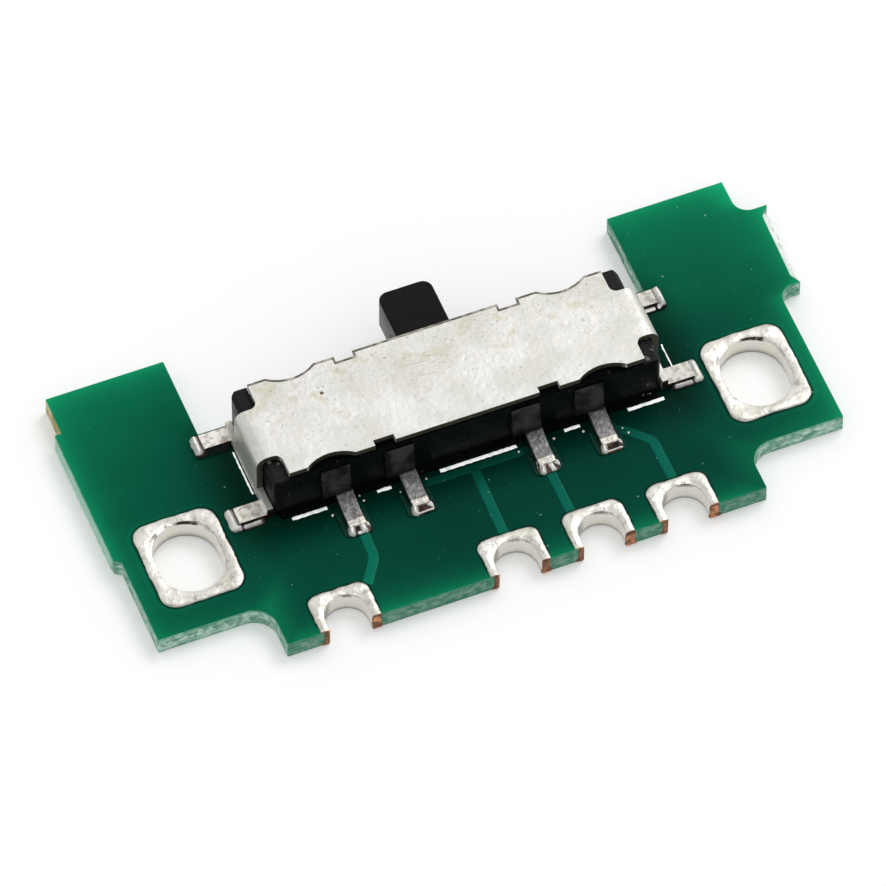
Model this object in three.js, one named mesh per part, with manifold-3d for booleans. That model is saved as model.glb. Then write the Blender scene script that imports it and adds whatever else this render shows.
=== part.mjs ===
// Three-position slide switch soldered to its own small circuit board.
// Millimetres. +Z up, +X along the board, +Y towards the knob.
// The origin is on the underside of the board's laminate, below the middle of the switch.
import * as THREE from "three";
import { mergeVertices } from "three/addons/utils/BufferGeometryUtils.js";
import Module from "manifold-3d";

const wasm = await Module();
wasm.setup();

// ---------- driving dimensions ----------

// Board
const LAMINATE = 0.48; // thickness of the glass-epoxy sheet with its solder mask
const FOIL = 0.035; // copper lands: this far proud of the upper face, let in flush underneath
const BOARD_LENGTH = 16.25;
const BOARD_CENTRE_X = -0.03; // the routed outline sits a hair left of the switch
const EARS_FRONT_Y = -3.46;
const ARMS_BACK_Y = 3.54;
const STRIP_DEPTH = 1.15; // how far the strip of edge contacts reaches in front of the ears
const STRIP_MARGIN = { left: 1.5, right: 1.85 }; // from its outer contacts to its ends
const ROUTER_R = 0.55; // router fillet where the strip meets the ears
const NOTCH_WIDTH = 10.65; // the U-shaped clearance behind the switch
const NOTCH_GAP = 0.05; // board left behind the back of the switch

// Remainders of the panel tabs, snapped off on both ends
const LEFT_TAB = { frontY: -1.12, backY: 2.54, proud: 0.16, run: 0.12 };
const RIGHT_TAB = { frontY: 0.31, backY: 2.58, proud: 0.42, fillet: 0.36 };
const RIGHT_HORN = { front: 0.14, back: 0.22, run: 0.25, lean: 0.06 }; // splinters at its corners

// Plated mounting slots
const MOUNT_SETBACK = 1.375; // from the ends of the board to the middles of the slots
const MOUNT_Y = -1.65;
const MOUNT_SLOT = { width: 1.62, length: 1.94 };
const MOUNT_RING = { x: 0.16, y: 0.19, r: 0.36 }; // what the land adds round the slot
const PLATING = 0.035;

// Half-round solder contacts along the front edge
const EDGE_PITCH = 2.0;
const EDGE_STEPS = [-2, 0, 1, 2];
const EDGE_CENTRE_X = -0.075;
const EDGE_HOLE_R = 0.5;
const EDGE_HOLE_SETBACK = 0.25; // from the front edge to the centre of the round
const EDGE_RING = { side: 0.21, back: 0.23, r: 0.25 }; // what the land adds round it

// Switch housing (heights above the mask are h values, see boardTop)
const COVER_LENGTH = 9.55;
const COVER_DEPTH = 2.585;
const COVER_TOP_H = 1.4;
const SHEET = 0.15; // thickness of the steel sheet
const BEND_R = 0.26; // outside radius of the cover's end bends
const CORNER = { x: 0.565, front: 0.5725, back: 0.6425, r: 0.18 }; // its open corners
const LATCH_X = 1.945; // small square notches in both long edges
const LATCH_WIDTH = 0.48;
const LATCH_DEPTH = 0.15;
const SCALLOP_X = 3.22; // shallow arcs in both long edges
const SCALLOP_CHORD = 1.15;
const SCALLOP_DEPTH = 0.19;
const SKIRT = { h: 0.36, front: 0.0475, back: 0.0625 }; // the end walls widen below this height

// Ground tabs bent out from the end walls
const TAB = { proud: 0.635, h: 0.045, frontWidth: 0.44, backWidth: 0.4 };
const GROUND_PAD = { inner: 0.055, outer: 0.21, margin: 0.1, r: 0.1 };

// Moulded base
const FIT = 0.02; // clearance between base and cover
const BASE_PROUD = { front: 0.0375, back: 0.0475 }; // the base past the cover's long edges
const LEDGE = { out: 0.14, h: 0.08, slope: 0.08 }; // foot along the front of the base
const RIB = { left: 0.5, right: 0.17, below: 0.08, topOut: 0.06, footH: 0.34, footOut: 0.17 };
const CAVITY = { slack: 0.3, frontWall: 0.58, backWall: 0.49, floorH: 0.3 };
const WINDOW_FLOOR_H = 0.1; // the knob's window in the back wall
const STEP = { wall: 0.17, h: 0.95 }; // the back wall thins above this, between the corners
const POST_R = 0.14; // rounding of the upright corners
const END_CHAMFER = 0.1; // upper end edges, which clear the inside of the cover's bends

// Terminals
const LEG_X = [-3.0, -1.5, 1.5, 3.0];
const LEG_WIDTH = 0.4;
const LEG_THICK = 0.12;
const LEG_KNEE = 0.17; // level run in front of the base
const LEG_SLOPE = 0.45; // plan length of the slope down to the foot
const LEG_FOOT = 0.36; // length of the soldered foot
const LEG_FOOT_H = 0.045; // underside of the soldered foot
const CONTACT_INSET = 0.37; // row of fixed contacts, from the cavity's front wall
const RAIL_INSET = 0.5; // common rail, from its back wall
const TRACK = 0.3; // width of the strips inside the base
const LINK_INSET = 0.35; // strip from the third terminal, behind the base's front face
const CONTACT_HALF = 0.35; // half length of a fixed contact

// Solder lands under the legs
const LAND = { side: 0.14, front: 0.18, back: 0.33, r: 0.12 }; // past the foot of the leg
const SOLDER_H = 0.12; // top of the solder beside a leg or tab
const SOLDER_INSET = 0.1; // how far the solder draws in towards its top

// Slider
const TRAVEL = 1.0; // one position to the next
const REST_X = 0.05; // it rests this far right of the exact middle
const STOP_GAP = 0.04; // between knob and window at the ends of the travel
const KNOB = { half: 0.635, proud: 1.4, bottomH: 0.18, below: 0.14, r: 0.24 };
const CARRIER = { x: 1.5, frontGap: 0.09, backGap: 0.13, bottomH: 0.66, below: 0.08 };
const ARM_GAP = 0.08; // the deep part of the arm begins this far inside the window

// Contact bridge under the slider
const BRIDGE = { width: 0.3, thick: 0.06, ride: 0.01, crown: 0.16, shoe: 0.05, lip: 0.1 };

// ---------- derived values ----------

const boardTop = LAMINATE;
const boardLeft = BOARD_CENTRE_X - BOARD_LENGTH / 2;
const boardRight = BOARD_CENTRE_X + BOARD_LENGTH / 2;
const mountX = BOARD_LENGTH / 2 - MOUNT_SETBACK;
const edgeXs = EDGE_STEPS.map((step) => EDGE_CENTRE_X + step * EDGE_PITCH);
const stripFrontY = EARS_FRONT_Y - STRIP_DEPTH;
const stripLeft = edgeXs[0] - STRIP_MARGIN.left;
const stripRight = edgeXs.at(-1) + STRIP_MARGIN.right;
const edgeHoleY = stripFrontY + EDGE_HOLE_SETBACK;

const coverHalf = COVER_LENGTH / 2;
const coverSide = COVER_DEPTH / 2;
const cornerX = coverHalf - CORNER.x;
const cornerFrontY = -coverSide + CORNER.front;
const cornerBackY = coverSide - CORNER.back;
const skirtFrontY = -coverSide - SKIRT.front;
const skirtBackY = coverSide - SKIRT.back;
const tabReach = coverHalf + TAB.proud;
const tabFront = { y0: skirtFrontY, y1: skirtFrontY + TAB.frontWidth };
const tabBack = { y0: skirtBackY - TAB.backWidth, y1: skirtBackY };

const baseHalf = coverHalf - SHEET - FIT;
const baseTopH = COVER_TOP_H - SHEET - FIT / 2;
const baseFrontY = -coverSide - BASE_PROUD.front;
const baseBackY = coverSide + BASE_PROUD.back;
const cavityHalf = CARRIER.x + TRAVEL + CAVITY.slack;
const cavityFrontY = baseFrontY + CAVITY.frontWall;
const cavityBackY = baseBackY - CAVITY.backWall;
const windowHalf = KNOB.half + TRAVEL + STOP_GAP;
const notchBaseY = baseBackY + NOTCH_GAP;
const notchLeft = BOARD_CENTRE_X - NOTCH_WIDTH / 2;
const notchRight = BOARD_CENTRE_X + NOTCH_WIDTH / 2;

const kneeY = baseFrontY - LEG_KNEE;
const footY = kneeY - LEG_SLOPE;
const tipY = footY - LEG_FOOT;
const contactY = cavityFrontY + CONTACT_INSET;
const railY = cavityBackY - RAIL_INSET;
const linkY = baseFrontY + LINK_INSET;
const trackTopH = CAVITY.floorH;
const trackBottomH = trackTopH - LEG_THICK;

const ARC_STEPS = 3; // half the number of chords in a small fillet
const BORE_STEPS = 8; // the same for holes and their lands

// ---------- materials ----------

const paint = (color, roughness, metalness) =>
  new THREE.MeshStandardMaterial({ color, roughness, metalness });
const solderMask = paint(0x006044, 0.35, 0);
const tinnedCopper = paint(0xdedad6, 0.35, 1);
const tinnedSteel = paint(0xe2ded6, 0.4, 1);
const blackResin = paint(0x1c1c1e, 0.45, 0);
const tinnedBrass = paint(0xb4b2ae, 0.45, 1);
const solder = paint(0xd8d8d6, 0.2, 1);
const bronze = paint(0xc08a54, 0.35, 1);

// ---------- solids ----------

// A closed geometry as a solid that can be joined and cut.
function solid(geometry) {
  const bare = geometry.index ? geometry.toNonIndexed() : geometry.clone();
  bare.deleteAttribute("normal");
  bare.deleteAttribute("uv");
  const merged = mergeVertices(bare, 1e-5);
  return new wasm.Manifold(
    new wasm.Mesh({
      numProp: 3,
      vertProperties: merged.attributes.position.array,
      triVerts: new Uint32Array(merged.index.array),
    }),
  );
}

// A solid as a named mesh.
function mesh(name, body, material) {
  const made = body.getMesh();
  const geometry = new THREE.BufferGeometry();
  const points = new Float32Array(made.vertProperties);
  geometry.setAttribute("position", new THREE.BufferAttribute(points, 3));
  geometry.setIndex(new THREE.BufferAttribute(new Uint32Array(made.triVerts), 1));
  geometry.computeVertexNormals();
  const piece = new THREE.Mesh(geometry, material);
  piece.name = name;
  return piece;
}

const joined = (bodies) => bodies.reduce((whole, body) => whole.add(body));

// A block between two corners, with heights measured from the board's mask.
function block([x0, y0, h0], [x1, y1, h1]) {
  const box = new THREE.BoxGeometry(x1 - x0, y1 - y0, h1 - h0);
  box.translate((x0 + x1) / 2, (y0 + y1) / 2, boardTop + (h0 + h1) / 2);
  return solid(box);
}

// A plan outline raised from height h0 to h1 above the mask.
function plate(shape, h0, h1, curveSegments = ARC_STEPS) {
  const geometry = new THREE.ExtrudeGeometry(shape, {
    depth: h1 - h0,
    bevelEnabled: false,
    curveSegments,
  });
  geometry.translate(0, 0, boardTop + h0);
  return solid(geometry);
}

// An outline drawn in (y, h), run along X from x0 to x1.
function alongX(shape, x0, x1) {
  const geometry = new THREE.ExtrudeGeometry(shape, {
    depth: x1 - x0,
    bevelEnabled: false,
    curveSegments: ARC_STEPS,
  });
  const turn = new THREE.Matrix4();
  turn.set(0, 0, 1, x0, 1, 0, 0, 0, 0, 1, 0, boardTop, 0, 0, 0, 1);
  geometry.applyMatrix4(turn);
  return solid(geometry);
}

// An outline drawn in (x, h), run along Y from y0 to y1.
function alongY(shape, y0, y1) {
  const geometry = new THREE.ExtrudeGeometry(shape, {
    depth: y1 - y0,
    bevelEnabled: false,
    curveSegments: ARC_STEPS,
  });
  const turn = new THREE.Matrix4();
  turn.set(1, 0, 0, 0, 0, 0, -1, y1, 0, 1, 0, boardTop, 0, 0, 0, 1);
  geometry.applyMatrix4(turn);
  return solid(geometry);
}

const polygon = (points) => new THREE.Shape(points.map(([u, v]) => new THREE.Vector2(u, v)));

// A rectangle with corners rounded by r, anticlockwise.
function roundedRect(x0, y0, x1, y1, r, path = new THREE.Shape()) {
  path.moveTo(x0 + r, y0);
  path.lineTo(x1 - r, y0);
  path.absarc(x1 - r, y0 + r, r, -Math.PI / 2, 0, false);
  path.lineTo(x1, y1 - r);
  path.absarc(x1 - r, y1 - r, r, 0, Math.PI / 2, false);
  path.lineTo(x0 + r, y1);
  path.absarc(x0 + r, y1 - r, r, Math.PI / 2, Math.PI, false);
  path.lineTo(x0, y0 + r);
  path.absarc(x0 + r, y0 + r, r, Math.PI, 1.5 * Math.PI, false);
  return path;
}

// A slot with round ends, its long way along Y, widened all round by extra.
function slotPath(cx, cy, width, length, extra, path) {
  const r = width / 2 + extra;
  const reach = (length - width) / 2;
  path.moveTo(cx + r, cy - reach);
  path.lineTo(cx + r, cy + reach);
  path.absarc(cx, cy + reach, r, 0, Math.PI, false);
  path.lineTo(cx - r, cy - reach);
  path.absarc(cx, cy - reach, r, Math.PI, 2 * Math.PI, false);
  return path;
}

// The edge opening of one half-round contact: an arch that is open to the front.
function archShape(cx, r, frontY) {
  const arch = new THREE.Shape();
  arch.moveTo(cx - r, frontY);
  arch.lineTo(cx + r, frontY);
  arch.lineTo(cx + r, edgeHoleY);
  arch.absarc(cx, edgeHoleY, r, 0, Math.PI, false);
  return arch;
}

// ---------- board ----------

// The routed outline with the snapped remainders of the panel tabs, anticlockwise.
function boardOutline() {
  const r = ROUTER_R;
  const left = boardLeft - LEFT_TAB.proud;
  const right = boardRight + RIGHT_TAB.proud;
  const bay = RIGHT_TAB.fillet;
  const { front, back, run, lean } = RIGHT_HORN;
  const outline = new THREE.Shape();
  outline.moveTo(boardLeft, EARS_FRONT_Y);
  outline.lineTo(stripLeft - r, EARS_FRONT_Y);
  outline.absarc(stripLeft - r, EARS_FRONT_Y - r, r, Math.PI / 2, 0, true);
  outline.lineTo(stripLeft, stripFrontY);
  outline.lineTo(stripRight, stripFrontY);
  outline.lineTo(stripRight, EARS_FRONT_Y - r);
  outline.absarc(stripRight + r, EARS_FRONT_Y - r, r, Math.PI, Math.PI / 2, true);
  outline.lineTo(boardRight, EARS_FRONT_Y);
  outline.lineTo(boardRight, RIGHT_TAB.frontY - bay);
  outline.absarc(boardRight + bay, RIGHT_TAB.frontY - bay, bay, Math.PI, Math.PI / 2, true);
  outline.lineTo(right + front, RIGHT_TAB.frontY);
  outline.lineTo(right, RIGHT_TAB.frontY + run);
  outline.lineTo(right + lean, RIGHT_TAB.backY - run);
  outline.lineTo(right + lean + back, RIGHT_TAB.backY);
  outline.absarc(boardRight + bay, RIGHT_TAB.backY + bay, bay, 1.5 * Math.PI, Math.PI, true);
  outline.lineTo(boardRight, ARMS_BACK_Y);
  outline.lineTo(notchRight, ARMS_BACK_Y);
  outline.lineTo(notchRight, notchBaseY);
  outline.lineTo(notchLeft, notchBaseY);
  outline.lineTo(notchLeft, ARMS_BACK_Y);
  outline.lineTo(boardLeft, ARMS_BACK_Y);
  outline.lineTo(boardLeft, LEFT_TAB.backY);
  outline.lineTo(left, LEFT_TAB.backY);
  outline.lineTo(left, LEFT_TAB.frontY);
  outline.lineTo(boardLeft, LEFT_TAB.frontY - LEFT_TAB.run);
  for (const side of [-1, 1]) {
    const slot = new THREE.Path();
    const { width, length } = MOUNT_SLOT;
    slotPath(side * mountX, MOUNT_Y, width, length, PLATING, slot);
    outline.holes.push(slot);
  }
  return outline;
}

// The sheet is cut by the copper that is let into its underside.
function circuitBoard(copper) {
  const over = 1; // the cutters run past the sheet on every free side
  let sheet = plate(boardOutline(), -LAMINATE, 0, BORE_STEPS);
  for (const x of edgeXs) {
    const arch = archShape(x, EDGE_HOLE_R + PLATING, stripFrontY - over);
    sheet = sheet.subtract(plate(arch, -LAMINATE - over, over, BORE_STEPS));
  }
  return copper.reduce((left, piece) => left.subtract(piece), sheet);
}

// One plated slot: a land on each face, joined by the barrel through the board.
function mountPlating(side) {
  const x = side * mountX;
  const { width, length } = MOUNT_SLOT;
  const half = { x: width / 2 + MOUNT_RING.x, y: length / 2 + MOUNT_RING.y };
  const [y0, y1] = [MOUNT_Y - half.y, MOUNT_Y + half.y];
  const land = roundedRect(x - half.x, y0, x + half.x, y1, MOUNT_RING.r);
  land.holes.push(slotPath(x, MOUNT_Y, width, length, 0, new THREE.Path()));
  const barrel = slotPath(x, MOUNT_Y, width, length, PLATING, new THREE.Shape());
  barrel.holes.push(slotPath(x, MOUNT_Y, width, length, 0, new THREE.Path()));
  const lower = plate(land, -LAMINATE, -LAMINATE + FOIL, BORE_STEPS);
  const upper = plate(land, 0, FOIL, BORE_STEPS);
  return joined([lower, plate(barrel, -LAMINATE, FOIL, BORE_STEPS), upper]);
}

// One edge contact: lands on both faces and the half barrel between them.
function edgeContact(x) {
  const backY = edgeHoleY + EDGE_HOLE_R + EDGE_RING.back;
  const half = EDGE_HOLE_R + EDGE_RING.side;
  const r = EDGE_RING.r;
  const land = new THREE.Shape();
  land.moveTo(x - half, stripFrontY);
  land.lineTo(x - EDGE_HOLE_R, stripFrontY);
  land.lineTo(x - EDGE_HOLE_R, edgeHoleY);
  land.absarc(x, edgeHoleY, EDGE_HOLE_R, Math.PI, 0, true);
  land.lineTo(x + EDGE_HOLE_R, stripFrontY);
  land.lineTo(x + half, stripFrontY);
  land.lineTo(x + half, backY - r);
  land.absarc(x + half - r, backY - r, r, 0, Math.PI / 2, false);
  land.lineTo(x - half + r, backY);
  land.absarc(x - half + r, backY - r, r, Math.PI / 2, Math.PI, false);
  const outer = archShape(x, EDGE_HOLE_R + PLATING, stripFrontY);
  const inner = archShape(x, EDGE_HOLE_R, stripFrontY - PLATING);
  const bore = plate(inner, -LAMINATE - FOIL, 2 * FOIL, BORE_STEPS);
  const barrel = plate(outer, -LAMINATE, FOIL, BORE_STEPS).subtract(bore);
  const lower = plate(land, -LAMINATE, -LAMINATE + FOIL, BORE_STEPS);
  const upper = plate(land, 0, FOIL, BORE_STEPS);
  return joined([lower, barrel, upper]);
}

// ---------- terminals ----------

// A leg and the start of its strip, drawn in (y, h): level, down the knee, level again on the land.
function legProfile(innerY) {
  return polygon([
    [innerY, trackBottomH],
    [innerY, trackTopH],
    [kneeY, trackTopH],
    [footY, LEG_FOOT_H + LEG_THICK],
    [tipY, LEG_FOOT_H + LEG_THICK],
    [tipY, LEG_FOOT_H],
    [footY, LEG_FOOT_H],
    [kneeY, trackBottomH],
  ]);
}

// A flat strip inside the base, between two plan corners.
const strip = (x0, y0, x1, y1) => block([x0, y0, trackBottomH], [x1, y1, trackTopH]);

// The four stamped terminals. The first is the common rail; each of the others ends in a contact.
function terminals() {
  const half = TRACK / 2;
  const wallY = baseFrontY + 0.1; // every leg becomes its strip just inside the wall
  const legs = LEG_X.map((x) =>
    alongX(legProfile(wallY), x - LEG_WIDTH / 2, x + LEG_WIDTH / 2),
  );
  const [railX, leftX, linkX, rightX] = LEG_X;
  const contactEdge = contactY + half;
  const railEnd = TRAVEL + CONTACT_HALF;
  const nearEdge = TRAVEL - CONTACT_HALF;
  return [
    joined([
      legs[0],
      strip(railX - half, wallY, railX + half, railY + half),
      strip(railX - half, railY - half, railEnd, railY + half),
    ]),
    joined([
      legs[1],
      strip(leftX - half, wallY, leftX + half, contactEdge),
      strip(leftX - half, contactY - half, -nearEdge, contactEdge),
    ]),
    joined([
      legs[2],
      strip(linkX - half, wallY, linkX + half, linkY + half),
      strip(-CONTACT_HALF, linkY - half, linkX + half, linkY + half),
      strip(-CONTACT_HALF, linkY - half, CONTACT_HALF, contactEdge),
    ]),
    joined([
      legs[3],
      strip(rightX - half, wallY, rightX + half, contactEdge),
      strip(nearEdge, contactY - half, rightX + half, contactEdge),
    ]),
  ];
}

// ---------- housing ----------

// A block cut out of the cover's long edges at a latch notch.
function latchCutter(end, side) {
  const inner = side * (coverSide - LATCH_DEPTH);
  const outer = side * (coverSide + SHEET);
  const [y0, y1] = [inner, outer].sort((a, b) => a - b);
  const x0 = end * LATCH_X - LATCH_WIDTH / 2;
  return block([x0, y0, COVER_TOP_H - 2 * SHEET], [x0 + LATCH_WIDTH, y1, COVER_TOP_H + SHEET]);
}

// A wide cylinder whose rim takes a shallow arc out of a long edge.
function scallopCutter(end, side) {
  const r = (SCALLOP_CHORD ** 2 / 4 + SCALLOP_DEPTH ** 2) / (2 * SCALLOP_DEPTH);
  const round = new THREE.CylinderGeometry(r, r, 3 * SHEET, 5 * BORE_STEPS);
  round.rotateX(Math.PI / 2);
  const y = side * (coverSide + r - SCALLOP_DEPTH);
  round.translate(end * SCALLOP_X, y, boardTop + COVER_TOP_H - SHEET / 2);
  return solid(round);
}

// The flat top of the cover: full depth in the middle, narrower past the corner openings.
function coverTopOutline() {
  const flat = coverHalf - BEND_R;
  const r = CORNER.r;
  const turnX = cornerX + r;
  const frontTurnY = cornerFrontY - r;
  const backTurnY = cornerBackY + r;
  const top = new THREE.Shape();
  top.moveTo(-cornerX, -coverSide);
  top.lineTo(cornerX, -coverSide);
  top.absarc(turnX, frontTurnY, r, Math.PI, Math.PI / 2, true);
  top.lineTo(flat, cornerFrontY);
  top.lineTo(flat, cornerBackY);
  top.absarc(turnX, backTurnY, r, 1.5 * Math.PI, Math.PI, true);
  top.lineTo(cornerX, coverSide);
  top.lineTo(-cornerX, coverSide);
  top.absarc(-turnX, backTurnY, r, 0, -Math.PI / 2, true);
  top.lineTo(-flat, cornerBackY);
  top.lineTo(-flat, cornerFrontY);
  top.absarc(-turnX, frontTurnY, r, Math.PI / 2, 0, true);
  return top;
}

// The bend and the upper end wall at +X, drawn in (x, h).
function endWallProfile() {
  const flat = coverHalf - BEND_R;
  const bendH = COVER_TOP_H - BEND_R;
  const wall = new THREE.Shape();
  wall.moveTo(flat, COVER_TOP_H);
  wall.absarc(flat, bendH, BEND_R, Math.PI / 2, 0, true);
  wall.lineTo(coverHalf, TAB.h + SHEET);
  wall.lineTo(coverHalf - SHEET, TAB.h + SHEET);
  wall.absarc(flat, bendH, BEND_R - SHEET, 0, Math.PI / 2, false);
  return wall;
}

// One end of the cover: bend, wall, the wider skirt below it and the two ground tabs.
function coverEnd(side) {
  const inner = coverHalf - SHEET;
  const tabs = [tabFront, tabBack].map(({ y0, y1 }) =>
    block([inner, y0, TAB.h], [tabReach, y1, TAB.h + SHEET]),
  );
  const end = joined([
    alongY(endWallProfile(), cornerFrontY, cornerBackY),
    block([inner, skirtFrontY, TAB.h], [coverHalf, skirtBackY, SKIRT.h]),
    ...tabs,
  ]);
  return side > 0 ? end : end.mirror([1, 0, 0]);
}

function switchCover() {
  let top = plate(coverTopOutline(), COVER_TOP_H - SHEET, COVER_TOP_H);
  for (const end of [-1, 1]) {
    for (const side of [-1, 1]) {
      top = top.subtract(latchCutter(end, side)).subtract(scallopCutter(end, side));
    }
  }
  return joined([top, coverEnd(-1), coverEnd(1)]);
}

// The moulded rib above a leg, drawn in (y, h): it leans out towards its foot.
function ribProfile() {
  const into = baseFrontY + RIB.footOut;
  const topH = baseTopH - RIB.below;
  return polygon([
    [into, topH],
    [into, RIB.footH],
    [baseFrontY - RIB.footOut, RIB.footH],
    [baseFrontY - RIB.topOut, topH],
  ]);
}

// The foot along the front of the base, drawn in (y, h).
function ledgeProfile() {
  return polygon([
    [baseFrontY + LEDGE.out, 0],
    [baseFrontY + LEDGE.out, LEDGE.h + LEDGE.slope],
    [baseFrontY, LEDGE.h + LEDGE.slope],
    [baseFrontY - LEDGE.out, LEDGE.h],
    [baseFrontY - LEDGE.out, 0],
  ]);
}

// The corner taken off the upper edge of one end, drawn in (x, h).
function endChamfer(side) {
  const edge = side * baseHalf;
  const corner = [
    [edge - side * END_CHAMFER, baseTopH],
    [edge, baseTopH - END_CHAMFER],
    [edge + side * END_CHAMFER, baseTopH],
  ];
  return alongY(polygon(corner), baseFrontY - 1, baseBackY + 1);
}

// The base is moulded round the terminals' strips, so it is cut by them.
function switchBase(inserts) {
  const outline = roundedRect(-baseHalf, baseFrontY, baseHalf, baseBackY, POST_R);
  const body = joined([
    plate(outline, 0, baseTopH),
    alongX(ledgeProfile(), -baseHalf + POST_R, baseHalf - POST_R),
    ...LEG_X.map((x) => alongX(ribProfile(), x - RIB.left, x + RIB.right)),
  ]);
  const open = baseTopH + 1;
  const low = [-cavityHalf, cavityFrontY, CAVITY.floorH];
  const cavity = block(low, [cavityHalf, cavityBackY, open]);
  const foot = [-windowHalf, cavityBackY, WINDOW_FLOOR_H];
  const window = block(foot, [windowHalf, baseBackY + 1, open]);
  const thinned = [-cornerX, cavityBackY + STEP.wall, STEP.h];
  const step = block(thinned, [cornerX, baseBackY + 1, open]);
  const cutters = [cavity, window, step, endChamfer(-1), endChamfer(1), ...inserts];
  return cutters.reduce((left, cutter) => left.subtract(cutter), body);
}

// ---------- slider ----------

// The knob and its arm in plan, from frontY out to the rounded tip.
function knobOutline(frontY) {
  const { half, proud, r } = KNOB;
  const tip = baseBackY + proud;
  const arm = new THREE.Shape();
  arm.moveTo(-half, frontY);
  arm.lineTo(half, frontY);
  arm.absarc(half - r, tip - r, r, 0, Math.PI / 2, false);
  arm.absarc(-half + r, tip - r, r, Math.PI / 2, Math.PI, false);
  return arm;
}

function slider() {
  const { x, frontGap, backGap, bottomH, below } = CARRIER;
  const backY = cavityBackY - backGap;
  const knobTopH = baseTopH - KNOB.below;
  return joined([
    block([-x, cavityFrontY + frontGap, bottomH], [x, backY, baseTopH - below]),
    plate(knobOutline(backY - KNOB.r), bottomH, knobTopH),
    plate(knobOutline(cavityBackY + ARM_GAP), KNOB.bottomH, knobTopH),
  ]);
}

// A bent strip drawn in (y, h) along a centre line, with mitred bends.
function ribbonOutline(line, thick) {
  const offset = (sign) =>
    line.map(([u, v], i) => {
      const [a, b] = [line[Math.max(i - 1, 0)], [u, v]];
      const [c, d] = [[u, v], line[Math.min(i + 1, line.length - 1)]];
      const turns = [[a, b], [c, d]].map(([p, q]) => {
        const run = Math.hypot(q[0] - p[0], q[1] - p[1]);
        return run ? [-(q[1] - p[1]) / run, (q[0] - p[0]) / run] : [0, 0];
      });
      const sum = [turns[0][0] + turns[1][0], turns[0][1] + turns[1][1]];
      const size = sum[0] ** 2 + sum[1] ** 2;
      const scale = (sign * thick) / size;
      const atEnd = i === 0 || i === line.length - 1;
      const reach = atEnd ? scale / 2 : scale;
      return [u + sum[0] * reach, v + sum[1] * reach];
    });
  return polygon([...offset(1), ...offset(-1).reverse()]);
}

// The bronze bridge: pressed up against the carrier, its two bows ride on contact and rail.
function contactBridge() {
  const { width, thick, ride, crown, shoe, lip } = BRIDGE;
  const middleY = (contactY + railY) / 2;
  const topH = CARRIER.bottomH - thick / 2;
  const lowH = trackTopH + ride + thick / 2;
  const line = [
    [contactY - shoe - lip, lowH + lip],
    [contactY - shoe, lowH],
    [contactY + shoe, lowH],
    [middleY - crown, topH],
    [middleY + crown, topH],
    [railY - shoe, lowH],
    [railY + shoe, lowH],
    [railY + shoe + lip, lowH + lip],
  ];
  return alongX(ribbonOutline(line, thick), -width / 2, width / 2);
}

// ---------- solder ----------

// A shallow pool of solder on a land, rounded towards its top and cut by what stands in it.
function solderPool([x0, y0], [x1, y1], r, standing) {
  const inset = SOLDER_INSET;
  const core = Math.max(r - inset, r / 4);
  const shape = roundedRect(x0 + inset, y0 + inset, x1 - inset, y1 - inset, core);
  const rise = SOLDER_H - FOIL;
  const geometry = new THREE.ExtrudeGeometry(shape, {
    depth: rise / 3,
    bevelThickness: (2 * rise) / 3,
    bevelSize: inset,
    bevelSegments: 3,
    curveSegments: ARC_STEPS,
  });
  geometry.translate(0, 0, boardTop + FOIL);
  const below = block([x0 - 1, y0 - 1, FOIL - SOLDER_H], [x1 + 1, y1 + 1, FOIL]);
  return solid(geometry).subtract(below).subtract(standing);
}

// The plan corners of a land under a leg, and of one under a ground tab.
function legLand(x) {
  const half = LEG_WIDTH / 2 + LAND.side;
  return [[x - half, tipY - LAND.front], [x + half, footY + LAND.back]];
}

function groundLand(side, tab) {
  const inner = side * (coverHalf + GROUND_PAD.inner);
  const outer = side * (tabReach + GROUND_PAD.outer);
  const xs = [inner, outer].sort((a, b) => a - b);
  return [[xs[0], tab.y0 - GROUND_PAD.margin], [xs[1], tab.y1 + GROUND_PAD.margin]];
}

const land = ([x0, y0], [x1, y1], r) => plate(roundedRect(x0, y0, x1, y1, r), 0, FOIL);

// ---------- assembly ----------

const powerSwitch = new THREE.Group();
const board = new THREE.Group();
const platings = [mountPlating(-1), mountPlating(1)];
const contacts = edgeXs.map(edgeContact);
board.add(mesh("circuit_board", circuitBoard([...platings, ...contacts]), solderMask));
["left", "right"].forEach((end, i) => {
  board.add(mesh(`mount_plating_${end}`, platings[i], tinnedCopper));
});
contacts.forEach((piece, i) => board.add(mesh(`edge_contact_${i + 1}`, piece, tinnedCopper)));
powerSwitch.add(board);

const housing = new THREE.Group();
const pins = terminals();
const cover = switchCover();
housing.add(mesh("switch_cover", cover, tinnedSteel));
housing.add(mesh("switch_base", switchBase(pins), blackResin));
pins.forEach((pin, i) => housing.add(mesh(`terminal_${i + 1}`, pin, tinnedBrass)));
powerSwitch.add(housing);

const joints = new THREE.Group();
LEG_X.forEach((x, i) => {
  const [low, high] = legLand(x);
  joints.add(mesh(`leg_land_${i + 1}`, land(low, high, LAND.r), tinnedCopper));
  joints.add(mesh(`leg_solder_${i + 1}`, solderPool(low, high, LAND.r, pins[i]), solder));
});
for (const [end, side] of [["left", -1], ["right", 1]]) {
  for (const [place, tab] of [["front", tabFront], ["back", tabBack]]) {
    const [low, high] = groundLand(side, tab);
    const name = `${end}_${place}`;
    joints.add(mesh(`ground_land_${name}`, land(low, high, GROUND_PAD.r), tinnedCopper));
    joints.add(mesh(`ground_solder_${name}`, solderPool(low, high, GROUND_PAD.r, cover), solder));
  }
}
powerSwitch.add(joints);

const moving = new THREE.Group();
moving.position.x = REST_X;
moving.add(mesh("slider", slider(), blackResin));
moving.add(mesh("contact_bridge", contactBridge(), bronze));
powerSwitch.add(moving);

export default powerSwitch;
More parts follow.
